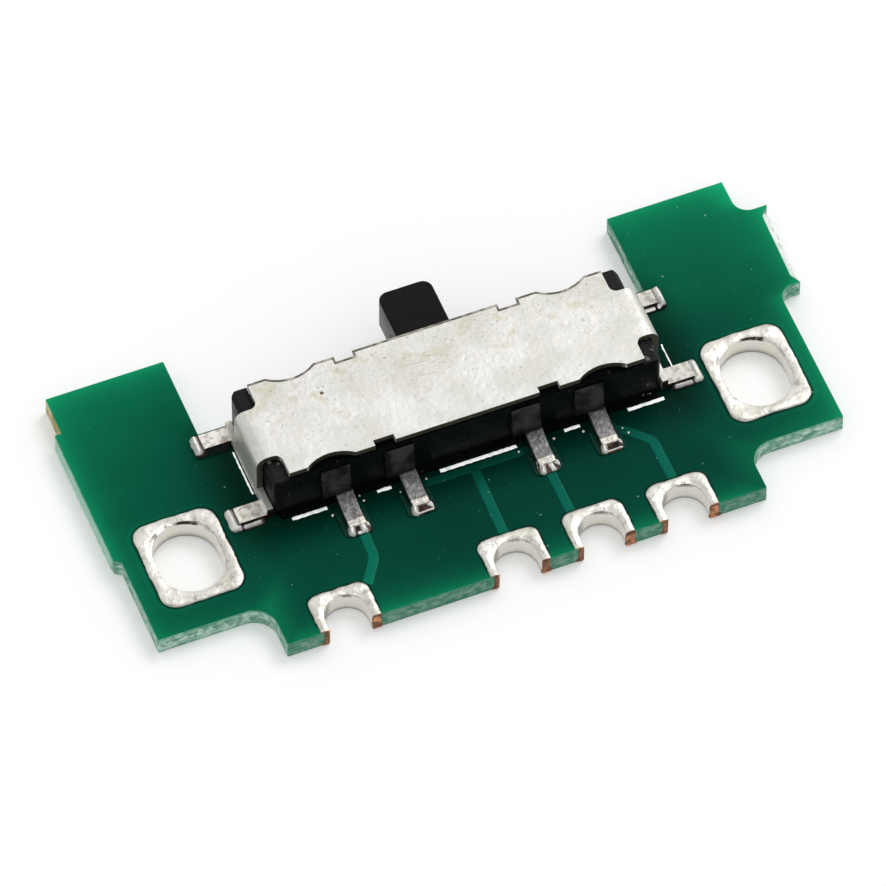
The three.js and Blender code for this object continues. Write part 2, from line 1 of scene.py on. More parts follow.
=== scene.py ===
"""Looks of the slide switch on its small circuit board.

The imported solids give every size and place. This script rounds their edges, lays the solder,
the plating, the traces and the ink on them as surfaces of their own, and gives each one its
finish. Lengths are in millimetres until a mesh is written, which is in metres.
"""

import math

import bmesh
import bpy
import numpy as np
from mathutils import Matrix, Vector


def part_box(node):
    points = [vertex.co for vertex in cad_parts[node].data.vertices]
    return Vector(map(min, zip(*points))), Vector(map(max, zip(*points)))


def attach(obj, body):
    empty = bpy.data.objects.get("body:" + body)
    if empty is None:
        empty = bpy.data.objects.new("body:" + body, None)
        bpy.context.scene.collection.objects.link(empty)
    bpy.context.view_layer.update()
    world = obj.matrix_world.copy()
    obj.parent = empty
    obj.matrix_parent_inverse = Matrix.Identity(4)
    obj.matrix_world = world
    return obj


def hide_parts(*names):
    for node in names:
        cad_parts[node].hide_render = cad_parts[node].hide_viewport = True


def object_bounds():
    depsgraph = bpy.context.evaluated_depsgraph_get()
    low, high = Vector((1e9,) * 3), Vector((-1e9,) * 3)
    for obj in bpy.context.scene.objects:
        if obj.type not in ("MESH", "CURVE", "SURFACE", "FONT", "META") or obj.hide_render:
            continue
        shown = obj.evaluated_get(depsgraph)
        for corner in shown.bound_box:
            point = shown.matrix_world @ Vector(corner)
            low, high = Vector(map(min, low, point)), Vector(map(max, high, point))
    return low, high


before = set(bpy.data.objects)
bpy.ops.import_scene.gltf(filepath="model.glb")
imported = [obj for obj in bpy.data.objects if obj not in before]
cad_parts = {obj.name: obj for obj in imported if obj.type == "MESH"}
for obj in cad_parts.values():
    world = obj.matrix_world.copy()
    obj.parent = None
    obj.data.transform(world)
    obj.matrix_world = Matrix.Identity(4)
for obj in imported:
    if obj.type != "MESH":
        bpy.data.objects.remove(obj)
cad_box = [[float(x) for x in corner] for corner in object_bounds()]

MM = 0.001


def placed(name, data):
    """A new object in the scene that holds the data."""
    made = bpy.data.objects.new(name, data)
    bpy.context.scene.collection.objects.link(made)
    return made


# ---------- camera ----------

AIM = Vector((-0.411, -0.844, 0.48))
AZIMUTH = math.radians(-21.806)
ELEVATION = math.radians(54.343)
DISTANCE = 251.09
LENS = 461.5


def aim_camera():
    """A long lens on a sphere round the switch, level with the horizon."""
    flat = math.cos(ELEVATION)
    away = Vector(
        (math.sin(AZIMUTH) * flat, -math.cos(AZIMUTH) * flat, math.sin(ELEVATION))
    )
    data = bpy.data.cameras.new("camera")
    data.lens = LENS
    data.sensor_width = 36.0
    data.clip_start = 0.005
    data.clip_end = 20.0
    camera = placed("camera", data)
    camera.location = (AIM + away * DISTANCE) * MM
    camera.rotation_euler = away.to_track_quat("Z", "Y").to_euler()
    bpy.context.scene.camera = camera


aim_camera()


# ---------- sizes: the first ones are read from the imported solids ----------


def corners(node):
    """Lowest and highest corner of a node, in millimetres."""
    low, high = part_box(node)
    return np.array(low) / MM, np.array(high) / MM


BOARD_LOW, BOARD_HIGH = corners("circuit_board")
COVER_HIGH = corners("switch_cover")[1]
BASE_LOW = corners("switch_base")[0]
MASK = float(BOARD_HIGH[2])
FOIL = float(corners("leg_land_1")[1][2]) - MASK
# the strip of edge contacts: half its length, and where the front edge runs beside it
STRIP_HALF = 5.675
EAR_FRONT = -3.46
# the snapped edge of the right-hand panel tab, from front to back
RIGHT_TAB_EDGE = ((8.505, 0.45), (8.585, 2.5))
# corner radii in plan of the mounting lands and of the edge contacts' lands
MOUNT_ROUND = 0.36
CONTACT_ROUND = 0.25
# thickness of the barrels' copper, and how far a plated skin reaches into the mask
PLATED_WALL = 0.035
SUNK = 0.01
LEGS = range(1, 5)
CONTACTS = range(1, 5)
ENDS = ("left", "right")
PLACES = ("front", "back")


# ---------- meshes ----------


def turned_outwards(mesh):
    """Flips the faces if they point inwards, which makes the volume they enclose negative."""
    solid = bmesh.new()
    solid.from_mesh(mesh)
    if solid.calc_volume(signed=True) < 0:
        mesh.flip_normals()
    solid.free()


def smoothed(mesh, crease):
    """Smooth faces, parted at edges that turn by more than the crease."""
    mesh.polygons.foreach_set("use_smooth", np.ones(len(mesh.polygons), bool))
    mesh.set_sharp_from_angle(angle=math.radians(crease))


def piece(name, points, faces, finishes, slot, face_finish=None, body="body", crease=40,
          tarnish=None):
    """A closed skin as an object of its own that rides on a body, with its faces outwards.

    A value for each point, where given, darkens the metal finishes, which read it as how dull it
    is there: it holds real tarnish and also painted shade and painted dark reflections.
    """
    mesh = bpy.data.meshes.new(name)
    mesh.from_pydata((np.asarray(points, float) * MM).tolist(), [], faces)
    mesh.update()
    turned_outwards(mesh)
    for finish in finishes:
        mesh.materials.append(finish)
    if face_finish is not None:
        mesh.polygons.foreach_set("material_index", np.asarray(face_finish, np.int32))
    if tarnish is not None:
        dull = mesh.attributes.new("tarnish", "FLOAT", "POINT")
        dull.data.foreach_set("value", np.clip(tarnish, 0, 1).astype(np.float32).ravel())
    smoothed(mesh, crease)
    made = placed(name, mesh)
    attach(made, body)
    return made


def lattice(nu, nv, wrap_u, wrap_v, start=0):
    """Quads between the points of an nu by nv grid; a wrapped direction closes on itself."""
    i = np.arange(nu if wrap_u else nu - 1)
    j = np.arange(nv if wrap_v else nv - 1)
    i, j = np.meshgrid(i, j, indexing="ij")
    near, far = i * nv, ((i + 1) % nu) * nv
    ahead = (j + 1) % nv
    quads = np.stack([near + j, far + j, far + ahead, near + ahead], -1)
    return (quads.reshape(-1, 4) + start).tolist()


def ring(name, grid, finishes, slot, **more):
    """A section carried round a closed path: the grid closes on itself both ways."""
    nu, nv = grid.shape[:2]
    faces = lattice(nu, nv, True, True)
    return piece(name, grid.reshape(-1, 3), faces, finishes, slot, **more)


def bar(name, grid, finishes, slot, cap_finish=0, **more):
    """A closed section carried along an open path, with a flat face at each end."""
    nu, nv = grid.shape[:2]
    faces = lattice(nu, nv, False, True)
    sides = [0] * len(faces)
    faces.append(list(range(nv)))
    faces.append(list(range((nu - 1) * nv, nu * nv))[::-1])
    marks = sides + [cap_finish] * 2
    return piece(name, grid.reshape(-1, 3), faces, finishes, slot, face_finish=marks, **more)


def dome_parts(grid, start=0):
    """Points and faces of a skin whose rows close on themselves and whose two ends are poles."""
    nu, nv = grid.shape[:2]
    top = grid[:, 0].mean(0)
    bottom = grid[:, -1].mean(0)
    between = grid[:, 1:-1]
    inner = nv - 2
    points = np.concatenate([between.reshape(-1, 3), top[None], bottom[None]])
    faces = lattice(nu, inner, True, False, start)
    this = np.arange(nu) * inner + start
    after = ((np.arange(nu) + 1) % nu) * inner + start
    up, down = start + nu * inner, start + nu * inner + 1
    faces += np.stack([np.full(nu, up), after, this], -1).tolist()
    faces += np.stack([this + inner - 1, after + inner - 1, np.full(nu, down)], -1).tolist()
    return points, faces


def domes(name, grids, finishes, slot, tarnish=None, **more):
    """Several such skins as one piece, with a grid of dullness, real tarnish and painted shade,
    for each where one is given.
    """
    points, faces, dull, start = [], [], [], 0
    for number, grid in enumerate(grids):
        some, round_them = dome_parts(grid, start)
        points.append(some)
        faces += round_them
        start += len(some)
        if tarnish is not None:
            marks = np.repeat(tarnish[number][..., None], 3, 2)
            dull.append(dome_parts(marks)[0][:, 0])
    if tarnish is not None:
        more["tarnish"] = np.concatenate(dull)
    return piece(name, np.concatenate(points), faces, finishes, slot, **more)


def refined(node, name, width, finish, segments=2, body="body"):
    """A node's own shape with its triangles joined up and its edges rounded where they turn by
    more than the angle."""
    angle, same_place, flat = 25, 2e-7, math.radians(0.8)
    shape = bmesh.new()
    shape.from_mesh(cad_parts[node].data)
    bmesh.ops.remove_doubles(shape, verts=shape.verts, dist=same_place)
    bmesh.ops.dissolve_limit(shape, angle_limit=flat, verts=shape.verts, edges=shape.edges)
    mesh = bpy.data.meshes.new(name)
    shape.to_mesh(mesh)
    shape.free()
    for stale in [a for a in mesh.attributes if a.name == "custom_normal"]:
        mesh.attributes.remove(stale)
    mesh.materials.clear()
    mesh.materials.append(finish)
    mesh.polygons.foreach_set("material_index", np.zeros(len(mesh.polygons), np.int32))
    smoothed(mesh, angle + 10)
    made = placed(name, mesh)
    edge = made.modifiers.new("rounded edges", "BEVEL")
    edge.width = width * MM
    edge.segments = segments
    edge.limit_method = "ANGLE"
    edge.angle_limit = math.radians(angle)
    edge.harden_normals = True
    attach(made, body)
    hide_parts(node)


# ---------- shapes in plan ----------


def signed_gap(qx, qy):
    """Signed distance to a rectangle, from how far a point is past its sides in x and in y."""
    outside = np.hypot(np.maximum(qx, 0), np.maximum(qy, 0))
    return outside + np.minimum(np.maximum(qx, qy), 0)


def ray_reach(theta, hx, hy, r, start=0.0):
    """How far a ray at each angle runs to the outline of a rectangle with rounded corners, from
    a start so far above its middle.

    The signed distance to the outline changes sign once along the ray, so halving an interval
    closes in on that point. With q = |p| - (h - r) it is |max(q, 0)| + min(max(qx, qy), 0) - r.
    """
    low = np.zeros_like(theta)
    high = np.full_like(theta, 2.0 * (hx + hy))
    for _ in range(40):
        middle = (low + high) / 2
        qx = np.abs(middle * np.cos(theta)) - (hx - r)
        qy = np.abs(start + middle * np.sin(theta)) - (hy - r)
        gap = signed_gap(qx, qy) - r
        low = np.where(gap < 0, middle, low)
        high = np.where(gap < 0, high, middle)
    return (low + high) / 2


def round_angles(count):
    """Angles evenly round a circle."""
    return np.linspace(0, 2 * math.pi, count, endpoint=False)


def wobble(a, b, seed, size):
    """A smooth lumpy value in -1..1: six crossed sine waves of about the given wavelength."""
    dice = np.random.default_rng(seed)
    total = np.zeros(np.broadcast(a, b).shape)
    for _ in range(6):
        turn = dice.uniform(0, 2 * math.pi)
        wave = 2 * math.pi / (size * dice.uniform(0.7, 1.6))
        phase = dice.uniform(0, 2 * math.pi)
        total = total + np.sin(wave * (a * math.cos(turn) + b * math.sin(turn)) + phase)
    return total / 6


def smooth(x):
    """Nought to one with level ends: 3x^2 - 2x^3 of x clipped to 0..1."""
    x = np.clip(x, 0, 1)
    return x * x * (3 - 2 * x)


def box_gap(x, y, low, high):
    """Signed distance in plan to the rectangle between two corners, positive outside it."""
    qx = np.maximum(low[0] - x, x - high[0])
    qy = np.maximum(low[1] - y, y - high[1])
    return signed_gap(qx, qy)


# ---------- node trees ----------


def rgb(red, green, blue):
    """A display colour of 0..255 as the linear colour that a shader takes."""
    shown = np.array([red, green, blue]) / 255
    linear = np.where(shown <= 0.04045, shown / 12.92, ((shown + 0.055) / 1.055) ** 2.4)
    return (*[float(x) for x in linear], 1.0)


def operator(operation, swapped=False):
    """What a sign between signals does: it adds the Math node of that operation."""

    def result(*values):
        return maths(operation, *(values[::-1] if swapped else values))

    return result


class Signal:
    """One output of a shader node. Arithmetic with it adds Math nodes to the tree it is in, and a
    key in brackets gives another output of the same node."""

    __add__, __radd__ = operator("ADD"), operator("ADD", swapped=True)
    __sub__, __rsub__ = operator("SUBTRACT"), operator("SUBTRACT", swapped=True)
    __mul__, __truediv__ = operator("MULTIPLY"), operator("DIVIDE")
    __pow__, __abs__ = operator("POWER"), operator("ABSOLUTE")

    def __init__(self, socket):
        self.socket = socket
        self.node = socket.node
        self.tree = socket.id_data

    def __getitem__(self, key):
        return Signal(self.node.outputs[key])


def feed(node, inputs):
    """Sets a node's inputs: signals are joined to them and anything else is their value."""
    for key, value in inputs.items():
        if isinstance(value, Signal):
            value.tree.links.new(value.socket, node.inputs[key])
        else:
            node.inputs[key].default_value = value


def add(tree, kind, inputs=None, **settings):
    """A new node with its inputs and settings; gives its first output."""
    node = tree.nodes.new(kind)
    for key, value in settings.items():
        setattr(node, key, value)
    feed(node, inputs or {})
    return Signal(node.outputs[0])


def maths(operation, *values):
    """One Math node's result, in the tree of the signals among its values."""
    tree = next(value.tree for value in values if isinstance(value, Signal))
    return add(tree, "ShaderNodeMath", dict(enumerate(values)), operation=operation)


def vector_maths(operation, *values, **named):
    """The same for a Vector Math node."""
    inputs = {**dict(enumerate(values)), **named}
    return add(values[0].tree, "ShaderNodeVectorMath", inputs, operation=operation)


def remap(value, low, high, to_low=0.0, to_high=1.0):
    """A value moved smoothly from one range to another."""
    inputs = dict(enumerate((value, low, high, to_low, to_high)))
    return add(value.tree, "ShaderNodeMapRange", inputs, interpolation_type="SMOOTHSTEP")


def blend(factor, first, second):
    """Two colours mixed by a factor."""
    tree = next(value.tree for value in (factor, first) if isinstance(value, Signal))
    return add(tree, "ShaderNodeMix", {0: factor, 6: first, 7: second}, data_type="RGBA")[2]


def axes_of(vector):
    """The three parts of a vector."""
    parts = add(vector.tree, "ShaderNodeSeparateXYZ", {0: vector})
    return parts[0], parts[1], parts[2]


def facing_of(place):
    """The three parts of the direction in which the surface faces."""
    return axes_of(add(place.tree, "ShaderNodeNewGeometry")["Normal"])


def tarnish_of(place):
    """How dull the metal is here, as written on the piece's own points: real tarnish, and painted
    shade and dark reflections.
    """
    return add(place.tree, "ShaderNodeAttribute", attribute_name="tarnish")["Fac"]


def stretched(vector, scale):
    """A vector with each part scaled by itself."""
    return add(vector.tree, "ShaderNodeMapping", {"Vector": vector, "Scale": scale})


FLOAT, VECTOR, COLOUR = "NodeSocketFloat", "NodeSocketVector", "NodeSocketColor"
WHITE = (1.0, 1.0, 1.0, 1.0)


def new_group(name, output, kind, **values):
    """A node group with a Vector input, a named input for each value and one output; gives the
    signals that come in, and the end node for what goes out."""
    tree = bpy.data.node_groups.new(name, "ShaderNodeTree")
    tree.interface.new_socket(name="Vector", in_out="INPUT", socket_type=VECTOR)
    for label, value in values.items():
        type_of_it = VECTOR if isinstance(value, tuple) else FLOAT
        socket = tree.interface.new_socket(name=label, in_out="INPUT", socket_type=type_of_it)
        socket.default_value = value
    tree.interface.new_socket(name=output, in_out="OUTPUT", socket_type=kind)
    return add(tree, "NodeGroupInput"), tree.nodes.new("NodeGroupOutput")


def use(group, vector, **values):
    """A group placed in the vector's tree with its own values; gives its one output."""
    node = add(vector.tree, "ShaderNodeGroup", node_tree=group)
    feed(node.node, {"Vector": vector, **values})
    return node


def noise(vector, scale, detail=2.0):
    """Fractal noise."""
    inputs = {"Vector": vector, "Scale": scale, "Detail": detail}
    return add(vector.tree, "ShaderNodeTexNoise", inputs)


def mottle_group():
    """Soft patches: a fractal noise whose middle is stretched between Low and High."""
    give, out = new_group("mottle", "Mask", FLOAT, Scale=1.0, Detail=4.0, Low=0.4, High=0.6)
    cloud = noise(give["Vector"], give["Scale"], give["Detail"])
    feed(out, {"Mask": remap(cloud["Fac"], give["Low"], give["High"])})
    return give.tree


def specks_group():
    """Round specks: cells whose random number passes Share hold a spot of radius Size."""
    give, out = new_group("specks", "Mask", FLOAT, Scale=3.0, Size=0.1, Share=0.3)
    warp = noise(give["Vector"], 14.0, 1.0)
    shift = vector_maths("MULTIPLY", warp["Color"], (0.05, 0.05, 0.05))
    moved = vector_maths("ADD", give["Vector"], shift)
    cells = add(give.tree, "ShaderNodeTexVoronoi", {"Vector": moved, "Scale": give["Scale"]})
    split = add(give.tree, "ShaderNodeSeparateColor", {0: cells["Color"]})
    chosen = maths("LESS_THAN", split, give["Share"])
    radius = give["Size"] * (split[1] + 0.3)
    core = radius * 0.55
    feed(out, {"Mask": chosen * remap(cells["Distance"], radius, core)})
    return give.tree


def scratches_group():
    """Fine lines: a noise drawn out along one direction, kept where it is close to its middle."""
    give, out = new_group(
        "scratches", "Mask", FLOAT, Turn=(0.0, 0.0, 0.0), Scale=6.0, Width=0.01, Share=0.5
    )
    inputs = {"Vector": give["Vector"], "Rotation": give["Turn"], "Scale": (0.12, 1.0, 0.12)}
    turned = add(give.tree, "ShaderNodeMapping", inputs)
    away = abs(noise(turned, give["Scale"], 1.0)["Fac"] - 0.5)
    line = remap(away, give["Width"], 0.0)
    where = noise(give["Vector"], 0.9)
    feed(out, {"Mask": line * remap(where["Fac"], give["Share"], give["Share"] + 0.08)})
    return give.tree


def grain_group():
    """Two layers of noise added up, as a height."""
    give, out = new_group("grain", "Height", FLOAT, Scale=10.0, Coarse=0.5)
    fine = noise(give["Vector"], give["Scale"], 3.0)
    broad = noise(give["Vector"], give["Scale"] * 0.2)
    feed(out, {"Height": fine["Fac"] + broad["Fac"] * give["Coarse"]})
    return give.tree


def plan_gap(x, y, middle, half, r):
    """Distance in plan to a rectangle with rounded corners of radius r; inside its straight core
    it stays at -r."""
    out_x = maths("MAXIMUM", abs(x - middle[0]) - (half[0] - r), 0.0)
    out_y = maths("MAXIMUM", abs(y - middle[1]) - (half[1] - r), 0.0)
    return maths("SQRT", out_x * out_x + out_y * out_y) - r


def mask_group():
    """The mask's green over bare laminate.

    Its brightness is a level floor, more towards the board's ends and rear arms, and more again
    within a quarter of a millimetre of a cut edge: a painted glow of light that comes through the
    laminate. Painted light also lifts it along the right arm's inner edge and left of the middle.
    It is darker in a painted shadow of the switch, and there is a dark moat round every plated
    land, with a slightly raised and lighter lip beyond it round the mounting lands.
    """
    give, out = new_group("mask_green", "Colour", COLOUR, Gain=1.0)
    place = give["Vector"]
    x, y, _ = axes_of(place)
    wide = abs(x)
    rear = maths("MAXIMUM", y / 3.5, 0.0) ** 1.3
    level = 0.05 + remap(wide, 4.5, 8.1, 0.0, 0.045) + rear * 0.07
    on_tab = remap(y, 0.0, 0.5) * remap(y, 2.95, 2.45)
    strip = STRIP_HALF - abs(x - 0.1)
    front = maths("MINIMUM", y - float(BOARD_LOW[1]), maths("MAXIMUM", strip, y - EAR_FRONT))
    on_ear = remap(wide, 5.2, 5.9) * remap(y, -1.6, -2.8)
    right_end = 8.1 + on_tab * 0.5
    # distance to each cut edge, and how much light comes through there
    edges = [
        (x - float(BOARD_LOW[0]), 0.14),
        (right_end - x, 0.16),
        (float(BOARD_HIGH[1]) - y, 0.14),
        (front, 0.14 - on_ear * 0.085),
    ]
    seep = 0.26
    for gap, share in edges:
        level = level + maths("EXPONENT", maths("MAXIMUM", gap, 0.0) / -seep) * share
    # painted light: a glow along the right arm's inner edge
    on_arm = remap(x, 4.8, 5.0) * remap(y, -0.3, 1.0)
    level = level + on_arm * remap(x, 7.2, 5.6, 0.012, 0.032)
    # painted light: a lift that grows from the middle towards the left and stops short of the left
    # end
    level = level + remap(x, -0.5, -3.5) * remap(wide, 5.9, 5.2) * 0.012
    # painted shadow of the switch: darker within about 1.25 mm of its outline
    under = plan_gap(x, y, (0.0, -0.25), (4.95, 1.25), 0.1)
    cloud = use(MOTTLE, place, Scale=0.7, Detail=2.0, Low=0.3, High=0.7)
    shade = remap(under, 0.0, 1.25, 0.4, 1.0) * remap(cloud, 0.0, 1.0, 0.95, 1.05)
    low, high = corners("mount_plating_right")
    away = plan_gap(wide, y, (low + high) / 2, (high - low) / 2, MOUNT_ROUND)
    lip = remap(away, 0.06, 0.09) * remap(away, 0.15, 0.12)
    shade = shade * (1.0 + lip * 0.18)
    for number in CONTACTS:
        low, high = corners(f"edge_contact_{number}")
        gap = plan_gap(x, y, (low + high) / 2, (high - low) / 2, CONTACT_ROUND)
        away = maths("MINIMUM", away, gap)
    shade = shade * remap(away, 0.025, 0.06, 0.4, 1.0) * give["Gain"]
    red = maths("MAXIMUM", level - 0.07, 0.0) * 0.02
    blue = level * 0.385 + 0.0135
    bright = add(give.tree, "ShaderNodeCombineXYZ", {0: red, 1: level, 2: blue})
    feed(out, {"Colour": vector_maths("SCALE", bright, Scale=shade)})
    return give.tree


MOTTLE = mottle_group()
SPECKS = specks_group()
SCRATCHES = scratches_group()
GRAIN = grain_group()
MASK_GREEN = mask_group()


def new_finish(name, **shader):
    """A material with one Principled shader; gives it, the shader and the place in millimetres."""
    finish = bpy.data.materials.new(name)
    finish.use_nodes = True
    tree = finish.node_tree
    tree.nodes.clear()
    out = tree.nodes.new("ShaderNodeOutputMaterial")
    coat = tree.nodes.new("ShaderNodeBsdfPrincipled")
    tree.links.new(coat.outputs[0], out.inputs[0])
    paint(coat, **shader)
    place = add(tree, "ShaderNodeTexCoord")["Object"]
    return finish, coat, vector_maths("MULTIPLY", place, (1 / MM, 1 / MM, 1 / MM))


def paint(coat, **shader):
    """Sets a shader's inputs, each by its name with underscores for spaces."""
    feed(coat, {key.replace("_", " "): value for key, value in shader.items()})


def emboss(coat, height, depth):
    """A height of one unit stands depth millimetres proud of the surface."""
    bump = add(height.tree, "ShaderNodeBump", {"Height": height, "Distance": depth * MM})
    paint(coat, Normal=bump)


# ---------- finishes ----------


def layered(colour, *layers):
    """A colour with others laid over it in turn: each comes as where it shows and what it is."""
    for where, shade in layers:
        colour = blend(where, colour, shade)
    return colour


def board_finish():
    """Glossy mask on the flats, sawn glass-epoxy on the edges."""
    finish, coat, place = new_finish("mask_and_laminate", Roughness=0.25, Specular_IOR_Level=0.03)
    x, y, z = axes_of(place)
    facing = facing_of(place)
    # the mask's green, with its painted glow and painted switch shadow, under pale dust specks
    dusty = layered(
        use(MASK_GREEN, place),
        (use(SPECKS, place, Scale=2.4, Size=0.06, Share=1.0) * 0.5, rgb(150, 196, 180)),
        (use(SPECKS, place, Scale=6.0, Size=0.12, Share=0.5) * 0.22, rgb(90, 160, 136)),
    )
    flat, steep = stretched(place, (0.7, 0.7, 7.0)), stretched(place, (5.0, 5.0, 9.0))
    layers = use(MOTTLE, flat, Scale=1.6, Detail=5.0, Low=0.36, High=0.62)
    threads = use(MOTTLE, steep, Scale=1.6, Detail=3.0, Low=0.42, High=0.6)
    patches = use(MOTTLE, place, Scale=5.0, Detail=5.0, Low=0.46, High=0.62)
    raw = use(MOTTLE, place, Scale=2.4, Detail=4.0, Low=0.4, High=0.6)
    lip, foot = remap(z, 0.38, 0.45), remap(z, 0.1, 0.03)
    snapped = remap(x, -7.9, -8.05) * remap(y, 2.0, 2.7)
    # painted shade: cut faces that face the front along the front strip are painted a darker green
    # than the other cut faces
    front_face_shade = remap(facing[1], -0.3, -0.9) * remap(y, -4.3, -4.5, 0.0, 0.6)
    laminate = layered(
        blend(layers, rgb(104, 166, 140), rgb(178, 218, 200)),
        (threads * 0.5, rgb(236, 246, 240)),
        (patches * 0.6, rgb(62, 132, 104)),
        (lip * 0.6, rgb(70, 160, 122)),
        (foot * 0.4, rgb(96, 168, 138)),
        (snapped * 0.85, blend(raw, rgb(176, 160, 104), rgb(222, 212, 166))),
        (front_face_shade, rgb(20, 112, 82)),
    )
    cut = remap(abs(facing[2]), 0.93, 0.6)
    paint(coat, Base_Color=blend(cut, dusty, laminate), Roughness=cut * 0.4 + 0.25)
    weave = use(GRAIN, stretched(place, (1.0, 1.0, 2.5)), Scale=9.0, Coarse=0.8)
    waves = use(GRAIN, place, Scale=1.2, Coarse=0.5)
    emboss(coat, weave * (cut * 0.7) + waves * 0.03, 0.04)
    return finish


def trace_finish():
    """The same mask where copper lies under it: clearer and lighter."""
    finish, coat, place = new_finish("mask_over_copper", Roughness=0.25, Specular_IOR_Level=0.04)
    dust = use(SPECKS, place, Scale=5.0, Size=0.16, Share=0.35)
    green = use(MASK_GREEN, place, Gain=2.45)
    colour = layered(green, (0.007, rgb(120, 188, 90)), (dust * 0.3, rgb(120, 170, 150)))
    paint(coat, Base_Color=colour)
    emboss(coat, use(GRAIN, place, Scale=4.0, Coarse=0.5), 0.003)
    return finish


def ink_finish():
    """White screen ink with a painted glow: its colour is also given off as light, so it stays
    bright even in the switch's shade.
    """
    finish, coat, place = new_finish(
        "white_ink", Roughness=0.6, Specular_IOR_Level=0.3, Emission_Strength=0.4
    )
    thin = use(MOTTLE, place, Scale=7.0, Detail=4.0, Low=0.3, High=0.55)
    colour = blend(thin, rgb(214, 226, 220), rgb(254, 255, 254))
    paint(coat, Base_Color=colour, Emission_Color=colour)
    emboss(coat, use(GRAIN, place, Scale=14.0, Coarse=0.5), 0.006)
    return finish


def plating_finish():
    """Thin tin on the lands: pale and satin, with dull spots, stains and grey rims; its upright
    walls are painted paler and less metallic as painted light, and painted shade darkens the
    barrels' foot.
    """
    finish, coat, place = new_finish("tin_plating", Metallic=0.8, Roughness=0.35)
    cloud = use(MOTTLE, place, Scale=2.2, Detail=5.0, Low=0.35, High=0.65)
    fine = use(MOTTLE, place, Scale=9.0, Detail=5.0, Low=0.46, High=0.7)
    stain = use(MOTTLE, place, Scale=3.4, Detail=6.0, Low=0.62, High=0.72)
    # painted light: upright walls are painted paler and made less metallic, so they read brighter
    upright = remap(facing_of(place)[2], 0.75, 0.2)
    colour = layered(
        blend(cloud, rgb(214, 211, 201), rgb(236, 234, 227)),
        (fine * 0.42, rgb(150, 146, 134)),
        (stain * 0.5, rgb(140, 126, 108)),
        (upright, rgb(246, 244, 234)),
        (tarnish_of(place), rgb(46, 45, 38)),
    )
    metal, rough = remap(upright, 0.0, 1.0, 0.8, 0.3), remap(cloud, 0.0, 1.0, 0.42, 0.3)
    paint(coat, Base_Color=colour, Metallic=metal, Roughness=rough)
    emboss(coat, use(GRAIN, place, Scale=9.0, Coarse=1.4), 0.01)
    return finish


def copper_finish():
    """Sawn copper at the cut ends of the half rounds, tarnished in patches."""
    finish, coat, place = new_finish("cut_copper", Metallic=0.3, Roughness=0.55)
    cloud = use(MOTTLE, place, Scale=5.0, Detail=5.0, Low=0.38, High=0.62)
    copper = blend(cloud, rgb(124, 76, 50), rgb(214, 146, 102))
    paint(coat, Base_Color=blend(tarnish_of(place), copper, rgb(66, 42, 30)))
    emboss(coat, use(GRAIN, place, Scale=16.0, Coarse=1.0), 0.02)
    return finish


def cover_finish():
    """Satin tin on steel: cloudy and finely grained, with beige blotches, small dark pits and
    fine scratches. The sheet's front-facing cut edges are bare grey steel painted darker as shade,
    browner and darker low down near the board, and faces that turn back at its rear edge are
    painted dark as shade."""
    finish, coat, place = new_finish("tinned_steel", Metallic=0.7, Roughness=0.45)
    x, y, z = axes_of(place)
    facing = facing_of(place)
    worn = remap(y, -0.9, 0.9, 0.25, 1.0)
    cloud = use(MOTTLE, place, Scale=1.3, Detail=7.0, Low=0.35, High=0.68)
    fine = use(MOTTLE, place, Scale=16.0, Detail=5.0, Low=0.42, High=0.72)
    blotch = use(MOTTLE, place, Scale=2.6, Detail=8.0, Low=0.5, High=0.68)
    spots = use(SPECKS, place, Scale=3.6, Size=0.2, Share=0.4)
    pits = use(SPECKS, place, Scale=9.0, Size=0.2, Share=0.3)
    rubs = use(SCRATCHES, place, Turn=(0.0, 0.0, 1.9), Scale=12.0, Width=0.05, Share=0.16)
    rubbed = remap(abs(x + 0.35), 1.1, 0.2) * remap(abs(y - 0.35), 0.6, 0.2)
    lines = use(SCRATCHES, place, Turn=(0.0, 0.0, 1.25), Scale=10.0, Width=0.014, Share=0.5)
    dent = (-2.76, 0.474, float(COVER_HIGH[2]))
    from_dent = vector_maths("DISTANCE", place, dent)["Value"]
    low = remap(z, 0.8, 0.72)
    crazed = use(MOTTLE, place, Scale=6.0, Detail=5.0, Low=0.44, High=0.62)
    tab = layered(
        blend(crazed, rgb(246, 243, 236), rgb(196, 190, 176)),
        (remap(x, 4.0, 5.0, 0.0, 0.45), rgb(140, 139, 134)),
    )
    colour = layered(
        blend(cloud, rgb(215, 214, 208), rgb(227, 226, 223)),
        (fine * (worn * 0.34), rgb(176, 172, 156)),
        (blotch * (worn * 0.5), rgb(190, 182, 154)),
        (spots * 0.22, rgb(150, 140, 112)),
        (pits * (worn * 0.35), rgb(110, 100, 80)),
        (rubs * rubbed * 0.4, rgb(160, 146, 106)),
        (lines * 0.3, rgb(150, 140, 114)),
        (remap(from_dent, 0.06, 0.03), rgb(104, 84, 56)),
        (low, tab),
        # painted shade: front-facing faces, over bare steel, darker and browner low down
        (remap(facing[1], -0.5, -0.8), blend(low, rgb(86, 84, 72), rgb(44, 32, 24))),
        # painted shade: faces that turn back at the rear edge
        (remap(facing[1], 0.05, 0.2), rgb(50, 44, 36)),
    )
    paint(coat, Base_Color=colour, Roughness=remap(cloud, 0.0, 1.0, 0.52, 0.4))
    emboss(coat, use(GRAIN, place, Scale=7.0, Coarse=1.0) - pits, 0.008)
    return finish


def patchy_finish(name, cloud, first, second, grain, depth, **shader):
    """Two colours in soft patches over a grain that stands a depth proud."""
    finish, coat, place = new_finish(name, **shader)
    paint(coat, Base_Color=blend(use(MOTTLE, place, **cloud), first, second))
    emboss(coat, use(GRAIN, place, **grain), depth)
    return finish


